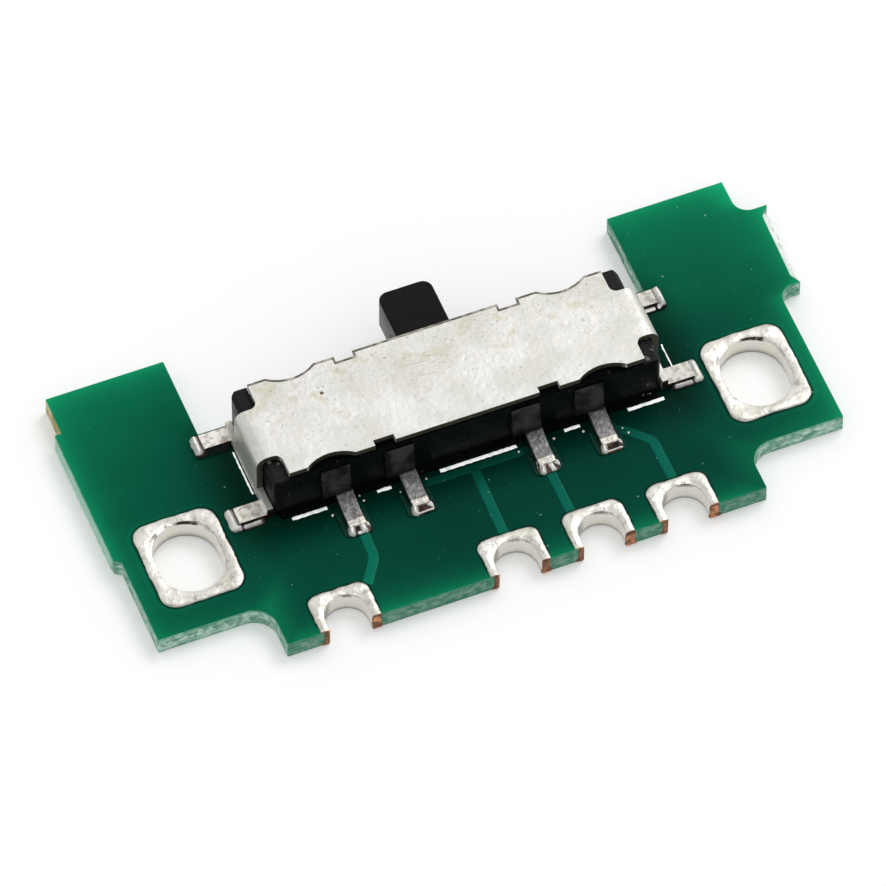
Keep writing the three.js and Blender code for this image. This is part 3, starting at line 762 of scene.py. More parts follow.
def resin_finish(name, low, high, shine, dusty=0.35):
    """Moulded black resin with a fine moulded grain and pale dust on it; gives its colour too,
    for what lies over it."""
    finish, coat, place = new_finish(name, Roughness=0.38, Specular_IOR_Level=shine)
    cloud = use(MOTTLE, place, Scale=2.0, Detail=4.0, Low=0.35, High=0.65)
    dust = use(SPECKS, place, Scale=4.2, Size=0.2, Share=0.3)
    fine = use(SPECKS, place, Scale=10.0, Size=0.2, Share=0.3)
    motes = maths("MAXIMUM", dust, fine * 0.6)
    colour = blend(motes * dusty, blend(cloud, low, high), rgb(165, 165, 158))
    paint(coat, Roughness=remap(cloud, 0.0, 1.0, 0.34, 0.48))
    emboss(coat, use(GRAIN, place, Scale=12.0, Coarse=0.8), 0.008)
    return finish, coat, place, colour


def base_finish():
    """The base's resin: painted darkest on its recessed front between the ribs as shade, with a
    painted lighter sheen on the ribs, painted near-black shade with little shine on the ledge
    below them and on upward faces between them, and dusty at the right-hand corner."""
    finish, coat, place, colour = resin_finish(
        "base_resin", rgb(15, 15, 16), rgb(24, 24, 25), 0.14
    )
    x, y, z = axes_of(place)
    facing = facing_of(place)
    face = float(BASE_LOW[1])
    between = remap(abs(x), 4.3, 4.1)
    # painted shade: the recessed front between the ribs
    deep = remap(facing[1], -0.5, -0.8) * between * remap(y, face + 0.07, face + 0.1)
    # painted light: the ribs' faces lighter, in a soft painted sheen
    rib = remap(y, -1.36, -1.38) * remap(z, 0.8, 1.1)
    cloudy = use(MOTTLE, place, Scale=2.4, Detail=3.0, Low=0.36, High=0.64)
    ledge = remap(z, 0.68, 0.64) * remap(y, -1.3, -1.34)
    # painted shade: the ledge and the upward faces between the ribs near-black, with the shine
    # turned down
    hidden = maths("MAXIMUM", ledge, remap(facing[2], 0.6, 0.9) * between)
    corner = remap(x, 3.9, 4.4) * remap(y, -0.4, -0.9)
    grit = use(SPECKS, place, Scale=9.0, Size=0.2, Share=0.85)
    colour = layered(
        colour,
        (deep * 0.9, rgb(5, 12, 10)),
        (rib * 0.95, blend(cloudy, rgb(22, 21, 23), rgb(62, 58, 62))),
        (hidden * 0.9, rgb(3, 5, 5)),
        (grit * corner * 0.6, rgb(190, 192, 188)),
    )
    paint(coat, Base_Color=colour, Specular_IOR_Level=remap(hidden, 0.0, 1.0, 0.14, 0.01))
    return finish


def knob_finish():
    """The knob's resin, with a painted grey sheen on its upright sides, strongest low down."""
    finish, coat, place, colour = resin_finish(
        "knob_resin", rgb(7, 7, 7), rgb(13, 13, 13), 0.1, 0.12
    )
    # painted reflection: upright sides paler grey, more so towards the foot
    upright = remap(abs(facing_of(place)[0]), 0.5, 0.9)
    low = remap(axes_of(place)[2], 1.5, 0.7, 0.25, 1.0)
    paint(coat, Base_Color=blend(upright * low, colour, rgb(104, 104, 105)))
    return finish


def leg_finish():
    """Matt grey tin on brass strip, grainy, and pale over the end of its tip."""
    finish, coat, place = new_finish("tinned_brass", Metallic=0.85, Roughness=0.42)
    grainy = use(MOTTLE, place, Scale=9.0, Detail=6.0, Low=0.36, High=0.64)
    marks = use(SPECKS, place, Scale=9.0, Size=0.26, Share=0.4)
    tip = remap(axes_of(place)[1], -2.12, -2.17)
    colour = layered(
        blend(grainy, rgb(112, 111, 110), rgb(150, 149, 148)),
        (marks * 0.5, rgb(70, 66, 62)),
        (tip, blend(grainy, rgb(206, 200, 190), rgb(240, 236, 228))),
    )
    paint(coat, Base_Color=colour)
    emboss(coat, use(GRAIN, place, Scale=16.0, Coarse=1.2), 0.01)
    return finish


def solder_finish():
    """Bright reflowed solder with a frosty skin in places; where it is dull it is painted brown,
    and near-black green where it is dullest, as painted shade and dark reflections."""
    finish, coat, place = new_finish("bright_solder", Roughness=0.25)
    dull = tarnish_of(place)
    frost = use(MOTTLE, place, Scale=6.0, Detail=5.0, Low=0.42, High=0.62)
    dark_mottle = use(MOTTLE, place, Scale=7.0, Detail=4.0, Low=0.4, High=0.6)
    # painted shade and reflection: brown where dull, near-black green where dullest
    colour = layered(
        blend(frost, rgb(255, 255, 253), rgb(238, 235, 228)),
        (remap(dull, 0.0, 0.6), blend(dark_mottle, rgb(20, 14, 11), rgb(78, 56, 42))),
        (remap(dull, 0.6, 1.0), rgb(5, 22, 18)),
    )
    paint(
        coat,
        Base_Color=colour,
        Metallic=remap(dull, 0.1, 0.6, 0.35, 0.0),
        Specular_IOR_Level=remap(dull, 0.2, 0.8, 0.5, 0.12),
        Roughness=remap(frost, 0.0, 1.0, 0.18, 0.34) + dull * 0.2,
    )
    emboss(coat, use(GRAIN, place, Scale=8.0, Coarse=1.5), 0.012)
    return finish


def fibre_finish():
    """Frayed glass fibres with a little resin left on them, greener towards the left."""
    finish, coat, place = new_finish("frayed_glass", Roughness=0.5, Specular_IOR_Level=0.4)
    cloud = use(MOTTLE, place, Scale=4.0, Detail=3.0, Low=0.4, High=0.6)
    glass = blend(cloud, rgb(214, 230, 220), rgb(250, 252, 250))
    to_left = remap(axes_of(place)[0], 0.0, -1.0)
    paint(coat, Base_Color=blend(to_left * 0.75, glass, rgb(124, 196, 166)))
    return finish


BOARD = board_finish()
TRACE = trace_finish()
INK = ink_finish()
PLATING = plating_finish()
COPPER = copper_finish()
COVER = cover_finish()
BASE = base_finish()
KNOB = knob_finish()
LEG = leg_finish()
SOLDER = solder_finish()
FIBRE = fibre_finish()
# the cover's sheared edge: dark steel, broken here and there by bright metal
SHEARED = patchy_finish(
    "sheared_edge", {"Scale": 4.0, "Detail": 5.0, "Low": 0.4, "High": 0.62}, rgb(92, 84, 74),
    rgb(176, 170, 158), {"Scale": 14.0, "Coarse": 1.0}, 0.01, Metallic=0.4, Roughness=0.5,
)
# a land painted dark green beside the solder, as shade and the reflection of the dark base
LAND = patchy_finish(
    "painted_dark_land", {"Scale": 6.0, "Detail": 4.0, "Low": 0.4, "High": 0.6}, rgb(4, 44, 35),
    rgb(8, 60, 47), {"Scale": 8.0, "Coarse": 1.5}, 0.01, Roughness=0.4, Specular_IOR_Level=0.1,
)
# spring bronze strip
BRONZE = patchy_finish(
    "spring_bronze", {"Scale": 5.0, "Detail": 4.0, "Low": 0.4, "High": 0.6}, rgb(178, 128, 82),
    rgb(214, 164, 112), {"Scale": 12.0, "Coarse": 0.5}, 0.004, Metallic=1.0, Roughness=0.32,
)


# ---------- plated mounting slots ----------


def arc_marks(theta, places):
    """Short dark arcs along a rim: a bell round each given angle, as wide and as strong as
    stated."""
    total = np.zeros_like(theta)
    for degrees, half, depth in places:
        gap = np.angle(np.exp(1j * (theta - math.radians(degrees))))
        total = total + depth * np.exp(-((gap / math.radians(half)) ** 4))
    return total


def plated_skin(outer, inner, back, section, bottom):
    """The reach, the height and the dullness along a plating's skin, and the share that each
    point has of the way in.

    A row of the section says that share, from the outer edge (0) to the barrel (1), then the
    height, then the dullness, where 1 stands for the grey rim line with the dark arcs on it and
    2 for the arcs alone. Two points behind the barrel's copper close the skin.
    """
    closing = [(1, bottom + FOIL, 0), (1, MASK - SUNK, 0)]
    share, z, dull = np.array(section + closing).T
    reach = outer[:, None] * (1 - share) + inner[:, None] * share
    reach[:, -2:] = back[:, None]
    return reach, np.broadcast_to(z, reach.shape).copy(), dull[None], share[None]


def slot_plating(end, arcs, stains, seed):
    """One plated slot as a single skin, carried round the slot.

    Each row runs at one angle from the outer edge of the upper land, over its pillowed top,
    round the rim, down the barrel and back under the lower land. The land's outline is a
    rounded rectangle and the barrel's a slot, and a point between them lies on the straight
    line that joins the two at that angle.
    """
    node = f"mount_plating_{end}"
    low, high = corners(node)
    middle = (low + high) / 2
    hx, hy = (high - low)[:2] / 2
    theta = round_angles(240)
    barrel_x, barrel_y = 0.745, 0.925
    outer = ray_reach(theta, hx, hy, MOUNT_ROUND)
    inner = ray_reach(theta, barrel_x, barrel_y, barrel_x)
    cos, sin = np.cos(theta), np.sin(theta)
    outer = outer + 0.022 * wobble(hx * cos, hy * sin, seed, 0.7)
    outer = outer + 0.012 * wobble(hx * cos, hy * sin, seed + 9, 0.2)
    inner = inner + 0.008 * wobble(cos, sin, seed + 2, 0.3)
    top, bottom = high[2], low[2]
    # the section's last column is dullness; the barrel's lowest rows are painted darker as a
    # shadow line at its foot
    section = [
        (0.0, MASK - SUNK, 0.5), (0.0, MASK + 0.5 * FOIL, 0.3), (0.03, top - 0.006, 0.1),
        (0.1, top, 0), (0.2, top + 0.004, 0), (0.35, top + 0.006, 0), (0.5, top + 0.006, 0),
        (0.6, top + 0.005, 0), (0.7, top + 0.002, 0), (0.78, top - 0.002, 0),
        (0.82, top - 0.004, 2), (0.9, top - 0.007, 1), (0.95, top - 0.009, 2),
        (0.99, top - 0.014, 2), (1.0, top - 0.035, 2), (1.0, top - 0.06, 0),
        (1.0, top - 0.12, 0),
        (1.0, 0.3, 0.0), (1.0, 0.2, 0.06), (1.0, bottom + 0.12, 0.28), (1.0, bottom + 0.06, 0.6),
        (0.98, bottom + 0.02, 0.85), (0.9, bottom, 0), (0.5, bottom, 0), (0.0, bottom, 0),
        (0.0, bottom + FOIL, 0), (0.5, bottom + FOIL, 0),
    ]
    hole_x, hole_y = barrel_x + 0.065, barrel_y + 0.055
    back = ray_reach(theta, hole_x, hole_y, hole_x) + PLATED_WALL
    reach, height, dull, _ = plated_skin(outer, inner, back, section, bottom)
    x = middle[0] + reach * cos[:, None]
    y = middle[1] + reach * sin[:, None]
    on_top = (height > MASK + SUNK).astype(float)
    height += on_top * 0.005 * wobble(x, y, seed + 1, 0.35)
    marks = arc_marks(theta, arcs)[:, None] * (1.3 + 0.5 * wobble(x, y, seed + 7, 0.08))
    marks = np.clip(marks, 0, 1)
    groove = np.clip(0.3 + 0.3 * wobble(x, y, seed + 4, 0.3), 0, 1)
    groove = np.maximum(groove * smooth((sin + 0.9) / 0.4)[:, None], marks)
    # painted shade: the dullness low in the barrel is strongest on its back wall, round 75 degrees
    far = 0.1 + 0.9 * smooth(np.cos(theta - math.radians(75)) * 1.3)[:, None]
    tarnish = dull * np.where(height < MASK, far, 1)
    tarnish = np.where(dull == 1, groove, np.where(dull == 2, marks, tarnish))
    for dx, dy, size, depth in stains:
        spot = depth * np.exp(-((x - middle[0] - dx) ** 2 + (y - middle[1] - dy) ** 2) / size**2)
        tarnish = np.maximum(tarnish, spot * on_top)
    grid = np.stack([x, y, height], -1)
    made = ring(f"slot_plating_{end}", grid, [PLATING], "tinned_copper", tarnish=tarnish)
    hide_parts(node)


# ---------- half-round edge contacts ----------


def edge_contact(number, arcs, seed):
    """One half-round contact as a single skin, carried round its arch.

    The path runs up the left side from the cut front face, round the half circle and down the
    right side. Each row crosses the upper land from its outer edge to the arch, goes down the
    half barrel and back under the lower land. The two cut ends show bare copper.
    """
    node = f"edge_contact_{number}"
    low, high = corners(node)
    x0 = (low[0] + high[0]) / 2
    front, back = low[1], high[1]
    half, arch_r, setback = (high[0] - low[0]) / 2, 0.5, 0.25
    hole_y = front + setback
    steps, turns = 8, 81
    up = np.linspace(0, setback, steps, endpoint=False)
    theta = np.concatenate(
        [np.full(steps, math.pi), np.linspace(math.pi, 0, turns), np.zeros(steps)]
    )
    start_y = np.concatenate([front + up, np.full(turns, hole_y), front + up[::-1]])
    flank = np.concatenate([np.ones(steps), np.zeros(turns), np.ones(steps)])
    # the land's straight sides run on past the front face, so its outline is that of a taller one
    tall = 1.5
    outer = ray_reach(theta, half, tall, CONTACT_ROUND, hole_y - back + tall)
    cos, sin = np.cos(theta), np.sin(theta)
    outer = outer + 0.025 * (1 - flank) * wobble(cos, sin, seed, 0.45)
    inner = arch_r + 0.008 * (1 - flank) * wobble(cos, sin, seed + 2, 0.25)
    top, bottom = high[2], low[2]
    # the barrel's lowest rows are painted darker as a shadow at its foot
    section = [
        (0.0, MASK - SUNK, 0.5), (0.0, MASK + 0.5 * FOIL, 0.3), (0.05, top - 0.004, 0.1),
        (0.14, top + 0.001, 0), (0.3, top + 0.006, 0), (0.45, top + 0.008, 0),
        (0.58, top + 0.006, 0), (0.7, top + 0.002, 0), (0.8, top - 0.004, 0),
        (0.87, top - 0.006, 0), (0.91, top - 0.007, 2), (0.96, top - 0.011, 1),
        (1.0, top - 0.024, 2), (1.0, top - 0.06, 2), (1.0, top - 0.09, 0),
        (1.0, 0.32, 0.0), (1.0, 0.24, 0.0), (1.0, 0.16, 0.02), (1.0, bottom + 0.1, 0.14),
        (0.99, bottom + 0.05, 0.5), (0.97, bottom + 0.01, 0.75),
        (0.88, bottom, 0), (0.4, bottom, 0), (0.0, bottom, 0), (0.0, bottom + FOIL, 0),
        (0.5, bottom + FOIL, 0),
    ]
    behind = np.full_like(theta, arch_r + PLATED_WALL)
    reach, height, dull, share = plated_skin(outer, inner, behind, section, bottom)
    x = x0 + reach * cos[:, None]
    y = start_y[:, None] + reach * sin[:, None]
    on_top = height > MASK + SUNK
    height += on_top * smooth((y - front) / 0.1) * 0.008 * wobble(x, y, seed + 1, 0.3)
    marks = arc_marks(theta, arcs)[:, None] * (0.8 + 0.4 * wobble(x, y, seed + 7, 0.08))
    marks = np.clip(marks, 0, 1)
    groove = np.maximum(np.clip(0.3 + 0.3 * wobble(x, y, seed + 4, 0.25), 0, 1), marks)
    dents = np.clip(wobble(x, y, seed + 6, 0.3) * 1.6 - 0.8, 0, 0.3) * (height > MASK + SUNK)
    tarnish = np.maximum(dull, dents)
    tarnish = np.where(dull == 1, groove, np.where(dull == 2, marks, tarnish))
    # painted shade: the barrel's far side, past 112 degrees, is painted darker below the mask
    shaded = 0.6 * smooth((theta - math.radians(112)) / 0.35)[:, None] * (height < MASK - 0.03)
    tarnish = np.maximum(tarnish, shaded * (share > 0.99))
    tarnish = tarnish * smooth((y - front) / 0.05)
    grid = np.stack([x, y, height], -1)
    made = bar(f"half_round_{number}", grid, [PLATING, COPPER], "tinned_copper",
               cap_finish=1, tarnish=tarnish)
    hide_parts(node)


def cut_copper(number, seed):
    """Smeared copper on the sawn face beside one half round: on each side an upright block and
    the foot it stands on, wider on the right.

    A lump is a squashed dome on the front face: its rim is a superellipse in x and z made
    uneven by a slow wave, and from its middle out it stands proud by the listed shares.
    """
    low, high = corners(f"edge_contact_{number}")
    x0 = (low[0] + high[0]) / 2
    front = low[1]
    dice = np.random.default_rng(seed)
    grids, marks = [], []
    lumps = [
        (-0.575, 0.27, 0.055, 0.19, 0.5), (-0.59, 0.06, 0.08, 0.05, 0.6),
        (0.6, 0.29, 0.1, 0.18, 0.0), (0.615, 0.07, 0.125, 0.062, 0.15),
    ]
    theta = round_angles(48)[:, None]
    rho = np.array([0, 0.3, 0.55, 0.75, 0.88, 0.96, 1.0, 1.0, 0.5, 0.0])[None]
    proud = np.array([1, 1, 0.95, 0.85, 0.66, 0.4, 0.1, -0.6, -0.6, -0.6])[None]
    cos, sin = np.cos(theta), np.sin(theta)
    squash = (np.abs(cos) ** 5 + np.abs(sin) ** 5) ** -0.2
    for step, (away, z0, wide, tall, dull) in enumerate(lumps):
        rim = 1 + 0.14 * wobble(2 * cos, 2 * sin, seed + step, 1.3)
        wide = wide * dice.uniform(0.85, 1.15)
        x = x0 + away + wide * rho * rim * squash * cos
        z = z0 + tall * rho * rim * squash * sin
        y = front - 0.03 * proud * (1 + 0.3 * wobble(x, z, seed + step + 5, 0.1))
        grids.append(np.stack([x, y, np.clip(z, 0.004, MASK + 0.012)], -1))
        marks.append(np.maximum(dull, smooth((rho - 0.82) / 0.15) * 0.8) + 0 * theta)
    domes(f"cut_copper_{number}", grids, [COPPER], "tinned_copper", tarnish=marks)


# ---------- solder ----------


def ridge_gap(x, y, ridge):
    """Distance in plan to the line that a ridge of solder follows."""
    ax, ay, bx, by = ridge[:4]
    along = np.array([bx - ax, by - ay])
    t = ((x - ax) * along[0] + (y - ay) * along[1]) / max(float(along @ along), 1e-9)
    t = np.clip(t, 0, 1)
    return np.hypot(x - ax - t * along[0], y - ay - t * along[1])


def solder_joint(name, node, land, metal, climb, ridges, dark, seed, taper=None):
    """A pool of solder on a land, wetted up the metal that stands in it.

    In plan it is a rounded rectangle of rays from the middle. Its height above the mask is a
    rounded rim, times a floor level plus a meniscus that dies away with the distance from the
    metal. Ridges are lines along which it stands higher by a bell of the distance to them. A
    taper says what share of its half width it keeps at each y.
    Under the metal it just meets the underside. It is dull where dark says, except on a ridge.
    """
    low, high = corners(land)
    middle = (low + high) / 2
    hx, hy = (high - low)[:2] / 2
    theta = round_angles(160)[:, None]
    cos, sin = np.cos(theta), np.sin(theta)
    reach = ray_reach(theta[:, 0], hx, hy, 0.12)[:, None]
    reach = reach * (1 + 0.035 * wobble(2 * cos, 2 * sin, seed, 1.0))
    rho = np.concatenate([np.linspace(0, 0.8, 34), np.linspace(0.815, 1.0, 16)])[None]
    x = middle[0] + reach * rho * cos
    y = middle[1] + reach * rho * sin
    if taper:
        x = middle[0] + (x - middle[0]) * taper(y)
    film, rim_width, meniscus = 0.012, 0.07, 0.05
    inside = np.clip(reach * (1 - rho) / rim_width, 0, 1)
    rim = np.sqrt(inside * (2 - inside))
    away = box_gap(x, y, *metal)
    level = film + climb * np.exp(-np.maximum(away, 0) / meniscus)
    bright = np.zeros_like(level)
    for ridge in ridges:
        bell = np.exp(-((ridge_gap(x, y, ridge) / ridge[4]) ** 2))
        level = np.maximum(level, film + ridge[5] * bell)
        bright = np.maximum(bright, smooth(1.5 * bell))
    level = FOIL + rim * (level + 0.008 * wobble(x, y, seed + 5, 0.16))
    under = smooth(-away / 0.04)
    level = level * (1 - under) + (FOIL + film) * under
    top = np.stack([x, y, MASK + level], -1)
    edge = top[:, -1].copy()
    edge[:, 2] = MASK
    floor_point = np.broadcast_to(np.array([middle[0], middle[1], MASK]), edge.shape)
    grid = np.concatenate([top, edge[:, None], floor_point[:, None]], 1)
    dull = np.clip(dark(x, y, away), 0, 1) * (1 - bright)
    dull = np.concatenate([dull, np.full((len(theta), 2), 0.8)], 1)
    made = domes(name, [grid], [SOLDER], "solder", tarnish=[dull], crease=75)
    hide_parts(node)


# the middle of each leg
LEG_X = {1: -3.0, 2: -1.5, 3: 1.5, 4: 3.0}
# ridges off each tip: from and to beside the tip's middle, half width and height
TIP_RIDGES = {
    1: [(-0.15, 0.03, -0.2, -0.14, 0.065, 0.12), (0.1, 0.0, 0.11, -0.14, 0.06, 0.11),
        (0.19, 0.06, 0.3, -0.03, 0.05, 0.09), (-0.03, -0.14, 0.0, -0.15, 0.035, 0.06),
        (-0.25, 0.4, -0.25, 0.25, 0.02, 0.05)],
    2: [(-0.16, 0.03, -0.2, -0.14, 0.065, 0.12), (0.15, 0.05, 0.3, -0.09, 0.055, 0.1),
        (-0.2, -0.15, 0.28, -0.13, 0.014, 0.03), (0.24, 0.55, 0.26, 0.32, 0.03, 0.09)],
    3: [(-0.22, 0.16, -0.26, 0.05, 0.035, 0.07), (-0.13, 0.0, -0.16, -0.14, 0.06, 0.11),
        (0.06, -0.02, 0.09, -0.14, 0.05, 0.09), (0.17, 0.06, 0.3, -0.06, 0.055, 0.1),
        (-0.27, 0.42, -0.28, 0.36, 0.05, 0.09), (0.26, 0.35, 0.27, 0.2, 0.02, 0.06)],
    4: [(-0.16, 0.02, -0.2, -0.13, 0.06, 0.11), (0.17, 0.08, 0.3, -0.02, 0.045, 0.09),
        (-0.2, -0.14, 0.22, -0.13, 0.014, 0.035), (0.25, 0.3, 0.28, 0.12, 0.025, 0.07),
        (-0.26, 0.3, -0.27, 0.2, 0.02, 0.06)],
}


def leg_solder(number, seed):
    """Solder round one leg: bright ridges flare from the tip's corners, with a hollow painted
    brown between them, and the thin solder beside the slope painted dark as the black base's
    reflection."""
    tip = float(corners(f"terminal_{number}")[0][1])
    x0 = LEG_X[number]
    half, wetted = 0.2, 0.8
    low, high = np.array([x0 - half, tip]), np.array([x0 + half, tip + wetted])
    ridges = [(x0 + a, tip + b, x0 + c, tip + d, r, h) for a, b, c, d, r, h in
              TIP_RIDGES[number]]

    def dark(x, y, away):
        # painted shade and reflection: brown off the ridges, darker behind the tip
        return 0.6 + 0.4 * smooth((y - tip - 0.02) / 0.08)

    def taper(y):
        return 0.78 - 0.16 * smooth((y - tip + 0.02) / 0.14)

    solder_joint(f"leg_joint_{number}", f"leg_solder_{number}", f"leg_land_{number}",
                 (low, high), 0.06, ridges, dark, seed, taper)


# where the bent-out tabs leave the cover's end walls, and each row's front and back
TAB_ROOT = 4.7
TAB_ROWS = {"front": (-1.34, -0.9), "back": (0.83, 1.23)}
# for each tab: how high the solder stands off its end, and along its front
TAB_FILLETS = {
    "left_front": (0.15, 0.1), "left_back": (0.17, 0.0),
    "right_front": (0.1, 0.1), "right_back": (0.19, 0.03),
}


def ground_solder(end, place, seed):
    """Solder round one bent-out tab: a bright ridge across its end, a dark crease painted as shade
    where it meets the steel, and a fillet along its front."""
    name = f"{end}_{place}"
    side = -1 if end == "left" else 1
    y0, y1 = TAB_ROWS[place]
    reach = float(COVER_HIGH[0])
    xs = sorted([side * TAB_ROOT, side * reach])
    low, high = np.array([xs[0], y0]), np.array([xs[1], y1])
    end_rise, front_rise = TAB_FILLETS[name]
    out = reach + 0.12
    ridges = [(side * out, y0 + 0.02, side * out, y1 - 0.02, 0.08, end_rise)]
    if front_rise:
        ridges.append((side * 4.95, y0 - 0.05, side * (reach - 0.1), y0 - 0.055, 0.03, front_rise))
        ridges.append((side * (reach + 0.02), y0 - 0.045, side * out, y0, 0.04, front_rise))
    if name == "right_back":
        ridges.append((out + 0.01, y0 + 0.1, out + 0.01, y1 - 0.12, 0.11, 0.2))

    def dark(x, y, away):
        # painted shade: dark beyond the tab's end, in the crease at the steel and along the front
        beyond = smooth((0.075 - (side * x - reach)) / 0.03)
        crease = smooth((0.02 - away) / 0.02)
        front = smooth((y0 - y) / 0.02) * (0.95 if front_rise < 0.05 else 0.5)
        return np.maximum(np.maximum(0.6 * beyond, 0.9 * crease), front)

    solder_joint(f"ground_joint_{name}", f"ground_solder_{name}", f"ground_land_{name}",
                 (low, high), 0.09, ridges, dark, seed)


def solder_balls(seed):
    """Stray beads of solder beside the legs, each a small ball sunk a little in the mask."""
    dice = np.random.default_rng(seed)
    spots = [(-3.4, -1.78), (-2.62, -1.66), (-2.66, -1.5), (-1.78, -1.75), (-1.12, -1.62),
             (1.05, -1.7), (1.9, -1.66), (3.42, -1.95), (3.5, -2.12), (2.58, -1.72)]
    grids = []
    for x0, y0 in spots:
        r = dice.uniform(0.022, 0.036)
        theta = round_angles(20)[:, None]
        phi = np.linspace(0, math.pi, 12)[None]
        x = x0 + r * np.sin(phi) * np.cos(theta)
        y = y0 + r * np.sin(phi) * np.sin(theta)
        z = MASK + 0.7 * r + r * np.cos(phi) + 0 * theta
        grids.append(np.stack([x, y, z], -1))
    domes("solder_balls", grids, [SOLDER], "solder")


# ---------- traces, ink and the cover's dark rear line ---


def unit(vectors):
    """Each row scaled to a length of one."""
    return vectors / np.linalg.norm(vectors, axis=1, keepdims=True)


def ribbon_grid(path, half, height, lift=0.0, seed=0, ragged=0.0):
    """A flat strip carried along a path in plan, with rounded shoulders.

    At each point the side direction is the mitre of the two runs that meet there. The section
    is a low half ellipse above the mask with a flat foot just under it.
    """
    ahead = unit(np.diff(path, axis=0, append=2 * path[-1:] - path[-2:-1]))
    behind = unit(np.diff(path, axis=0, prepend=2 * path[:1] - path[1:2]))
    along = unit(ahead + behind)
    side = np.stack([-along[:, 1], along[:, 0]], -1)
    stretch = 1 / np.maximum((side * np.stack([-ahead[:, 1], ahead[:, 0]], -1)).sum(1), 0.5)
    s = np.concatenate([[0], np.cumsum(np.linalg.norm(np.diff(path, axis=0), axis=1))])
    across = np.array([-1, -0.97, -0.85, -0.5, 0, 0.5, 0.85, 0.97, 1, 1, 0, -1])
    rise = np.array([0, 0.55, 0.9, 1, 1, 1, 0.9, 0.55, 0, -0.4, -0.4, -0.4])
    uneven = wobble(s[:, None] + 0 * across, 0.3 * np.sign(across)[None], seed, 0.16)
    width = half * stretch[:, None] * across[None]
    width = width + ragged * uneven * np.abs(across)
    x = path[:, 0, None] + side[:, 0, None] * width
    y = path[:, 1, None] + side[:, 1, None] * width
    z = MASK + lift + height * np.broadcast_to(rise, x.shape)
    return np.stack([x, y, z], -1)


def run_of(points, step):
    """A path of straight runs, with a point about every step."""
    points = np.asarray(points, float)
    parts = []
    for a, b in zip(points[:-1], points[1:]):
        count = max(2, int(np.hypot(*(b - a)) / step))
        parts.append(a + (b - a) * np.linspace(0, 1, count, endpoint=False)[:, None])
    parts.append(points[-1:])
    return np.concatenate(parts)


def rounded_route(points):
    """A route whose inner corners are cut by quadratic arcs that start a turn before them."""
    turn = 0.12
    points = np.asarray(points, float)
    path = [points[:1]]
    for before, corner, after in zip(points[:-2], points[1:-1], points[2:]):
        enter, leave = corner + unit(np.stack([before, after]) - corner) * turn
        t = np.linspace(0, 1, 7)[:, None]
        path.append((1 - t) ** 2 * enter + 2 * t * (1 - t) * corner + t * t * leave)
    path.append(points[-1:])
    return np.concatenate(path)


def traces():
    """The four leads from the legs to the half rounds, and the link in front of the switch."""
    routes = {
        "trace_1": ([(-2.925, -2.4), (-2.955, -3.15), (-3.36, -3.76)], 0.115),
        "trace_2": ([(-0.025, -1.75), (-0.08, -3.76)], 0.115),
        "trace_3": ([(1.5, -2.4), (1.515, -3.76)], 0.11),
        "trace_4": ([(3.2, -1.86), (3.5, -2.05), (3.93, -2.5), (3.94, -3.76)], 0.11),
        "trace_link": ([(-1.3, -1.72), (1.3, -1.71)], 0.1),
    }
    for name, (route, half) in routes.items():
        grid = ribbon_grid(rounded_route(route), half, 0.01)
        bar(name, grid, [TRACE], "solder_mask")


def ink_outline():
    """The switch's outline in white ink, broken at the legs and tabs."""
    strokes = [
        ((-4.255, -1.53), (-3.435, -1.53), 0.042), ((-2.245, -1.53), (-1.915, -1.53), 0.04),
        ((-0.755, -1.53), (1.065, -1.53), 0.045), ((2.205, -1.53), (2.575, -1.53), 0.04),
        ((3.725, -1.53), (4.595, -1.53), 0.042), ((-4.815, -0.58), (-4.815, 0.64), 0.02),
        ((5.095, -0.83), (5.095, -0.15), 0.014),
    ]
    for number, (start, end, half) in enumerate(strokes, 1):
        path = run_of([start, end], 0.02)
        grid = ribbon_grid(path, half, 0.012, seed=number, ragged=0.011)
        bar(f"ink_{number}", grid, [INK], "solder_mask")


def rear_dark_line():
    """A dark strip along the sheared back edge of the cover's top.

    It follows the outline of the cover's own top face: the outline's points behind the middle,
    in order, make the path, and the strip lies just inside it.
    """
    sheet = bpy.data.objects["cover_sheet"].data
    top = max(sheet.polygons, key=lambda face: face.area * (face.normal.z > 0.9))
    points = np.array([sheet.vertices[i].co for i in top.vertices]) / MM
    behind = points[:, 1] > 0.85
    start = int(np.argmax(behind & ~np.roll(behind, 1)))
    order = np.roll(np.arange(len(points)), -start)
    path = points[order][behind[order]]
    centre = run_of([tuple(p) for p in path[:, :2]], 0.03) - (0.0, 0.022)
    grid = ribbon_grid(centre, 0.024, 0.012, lift=float(COVER_HIGH[2]) - MASK)
    bar("rear_dark_line", grid, [SHEARED], "tinned_steel")


# ---------- frayed ends of the panel tabs ----------


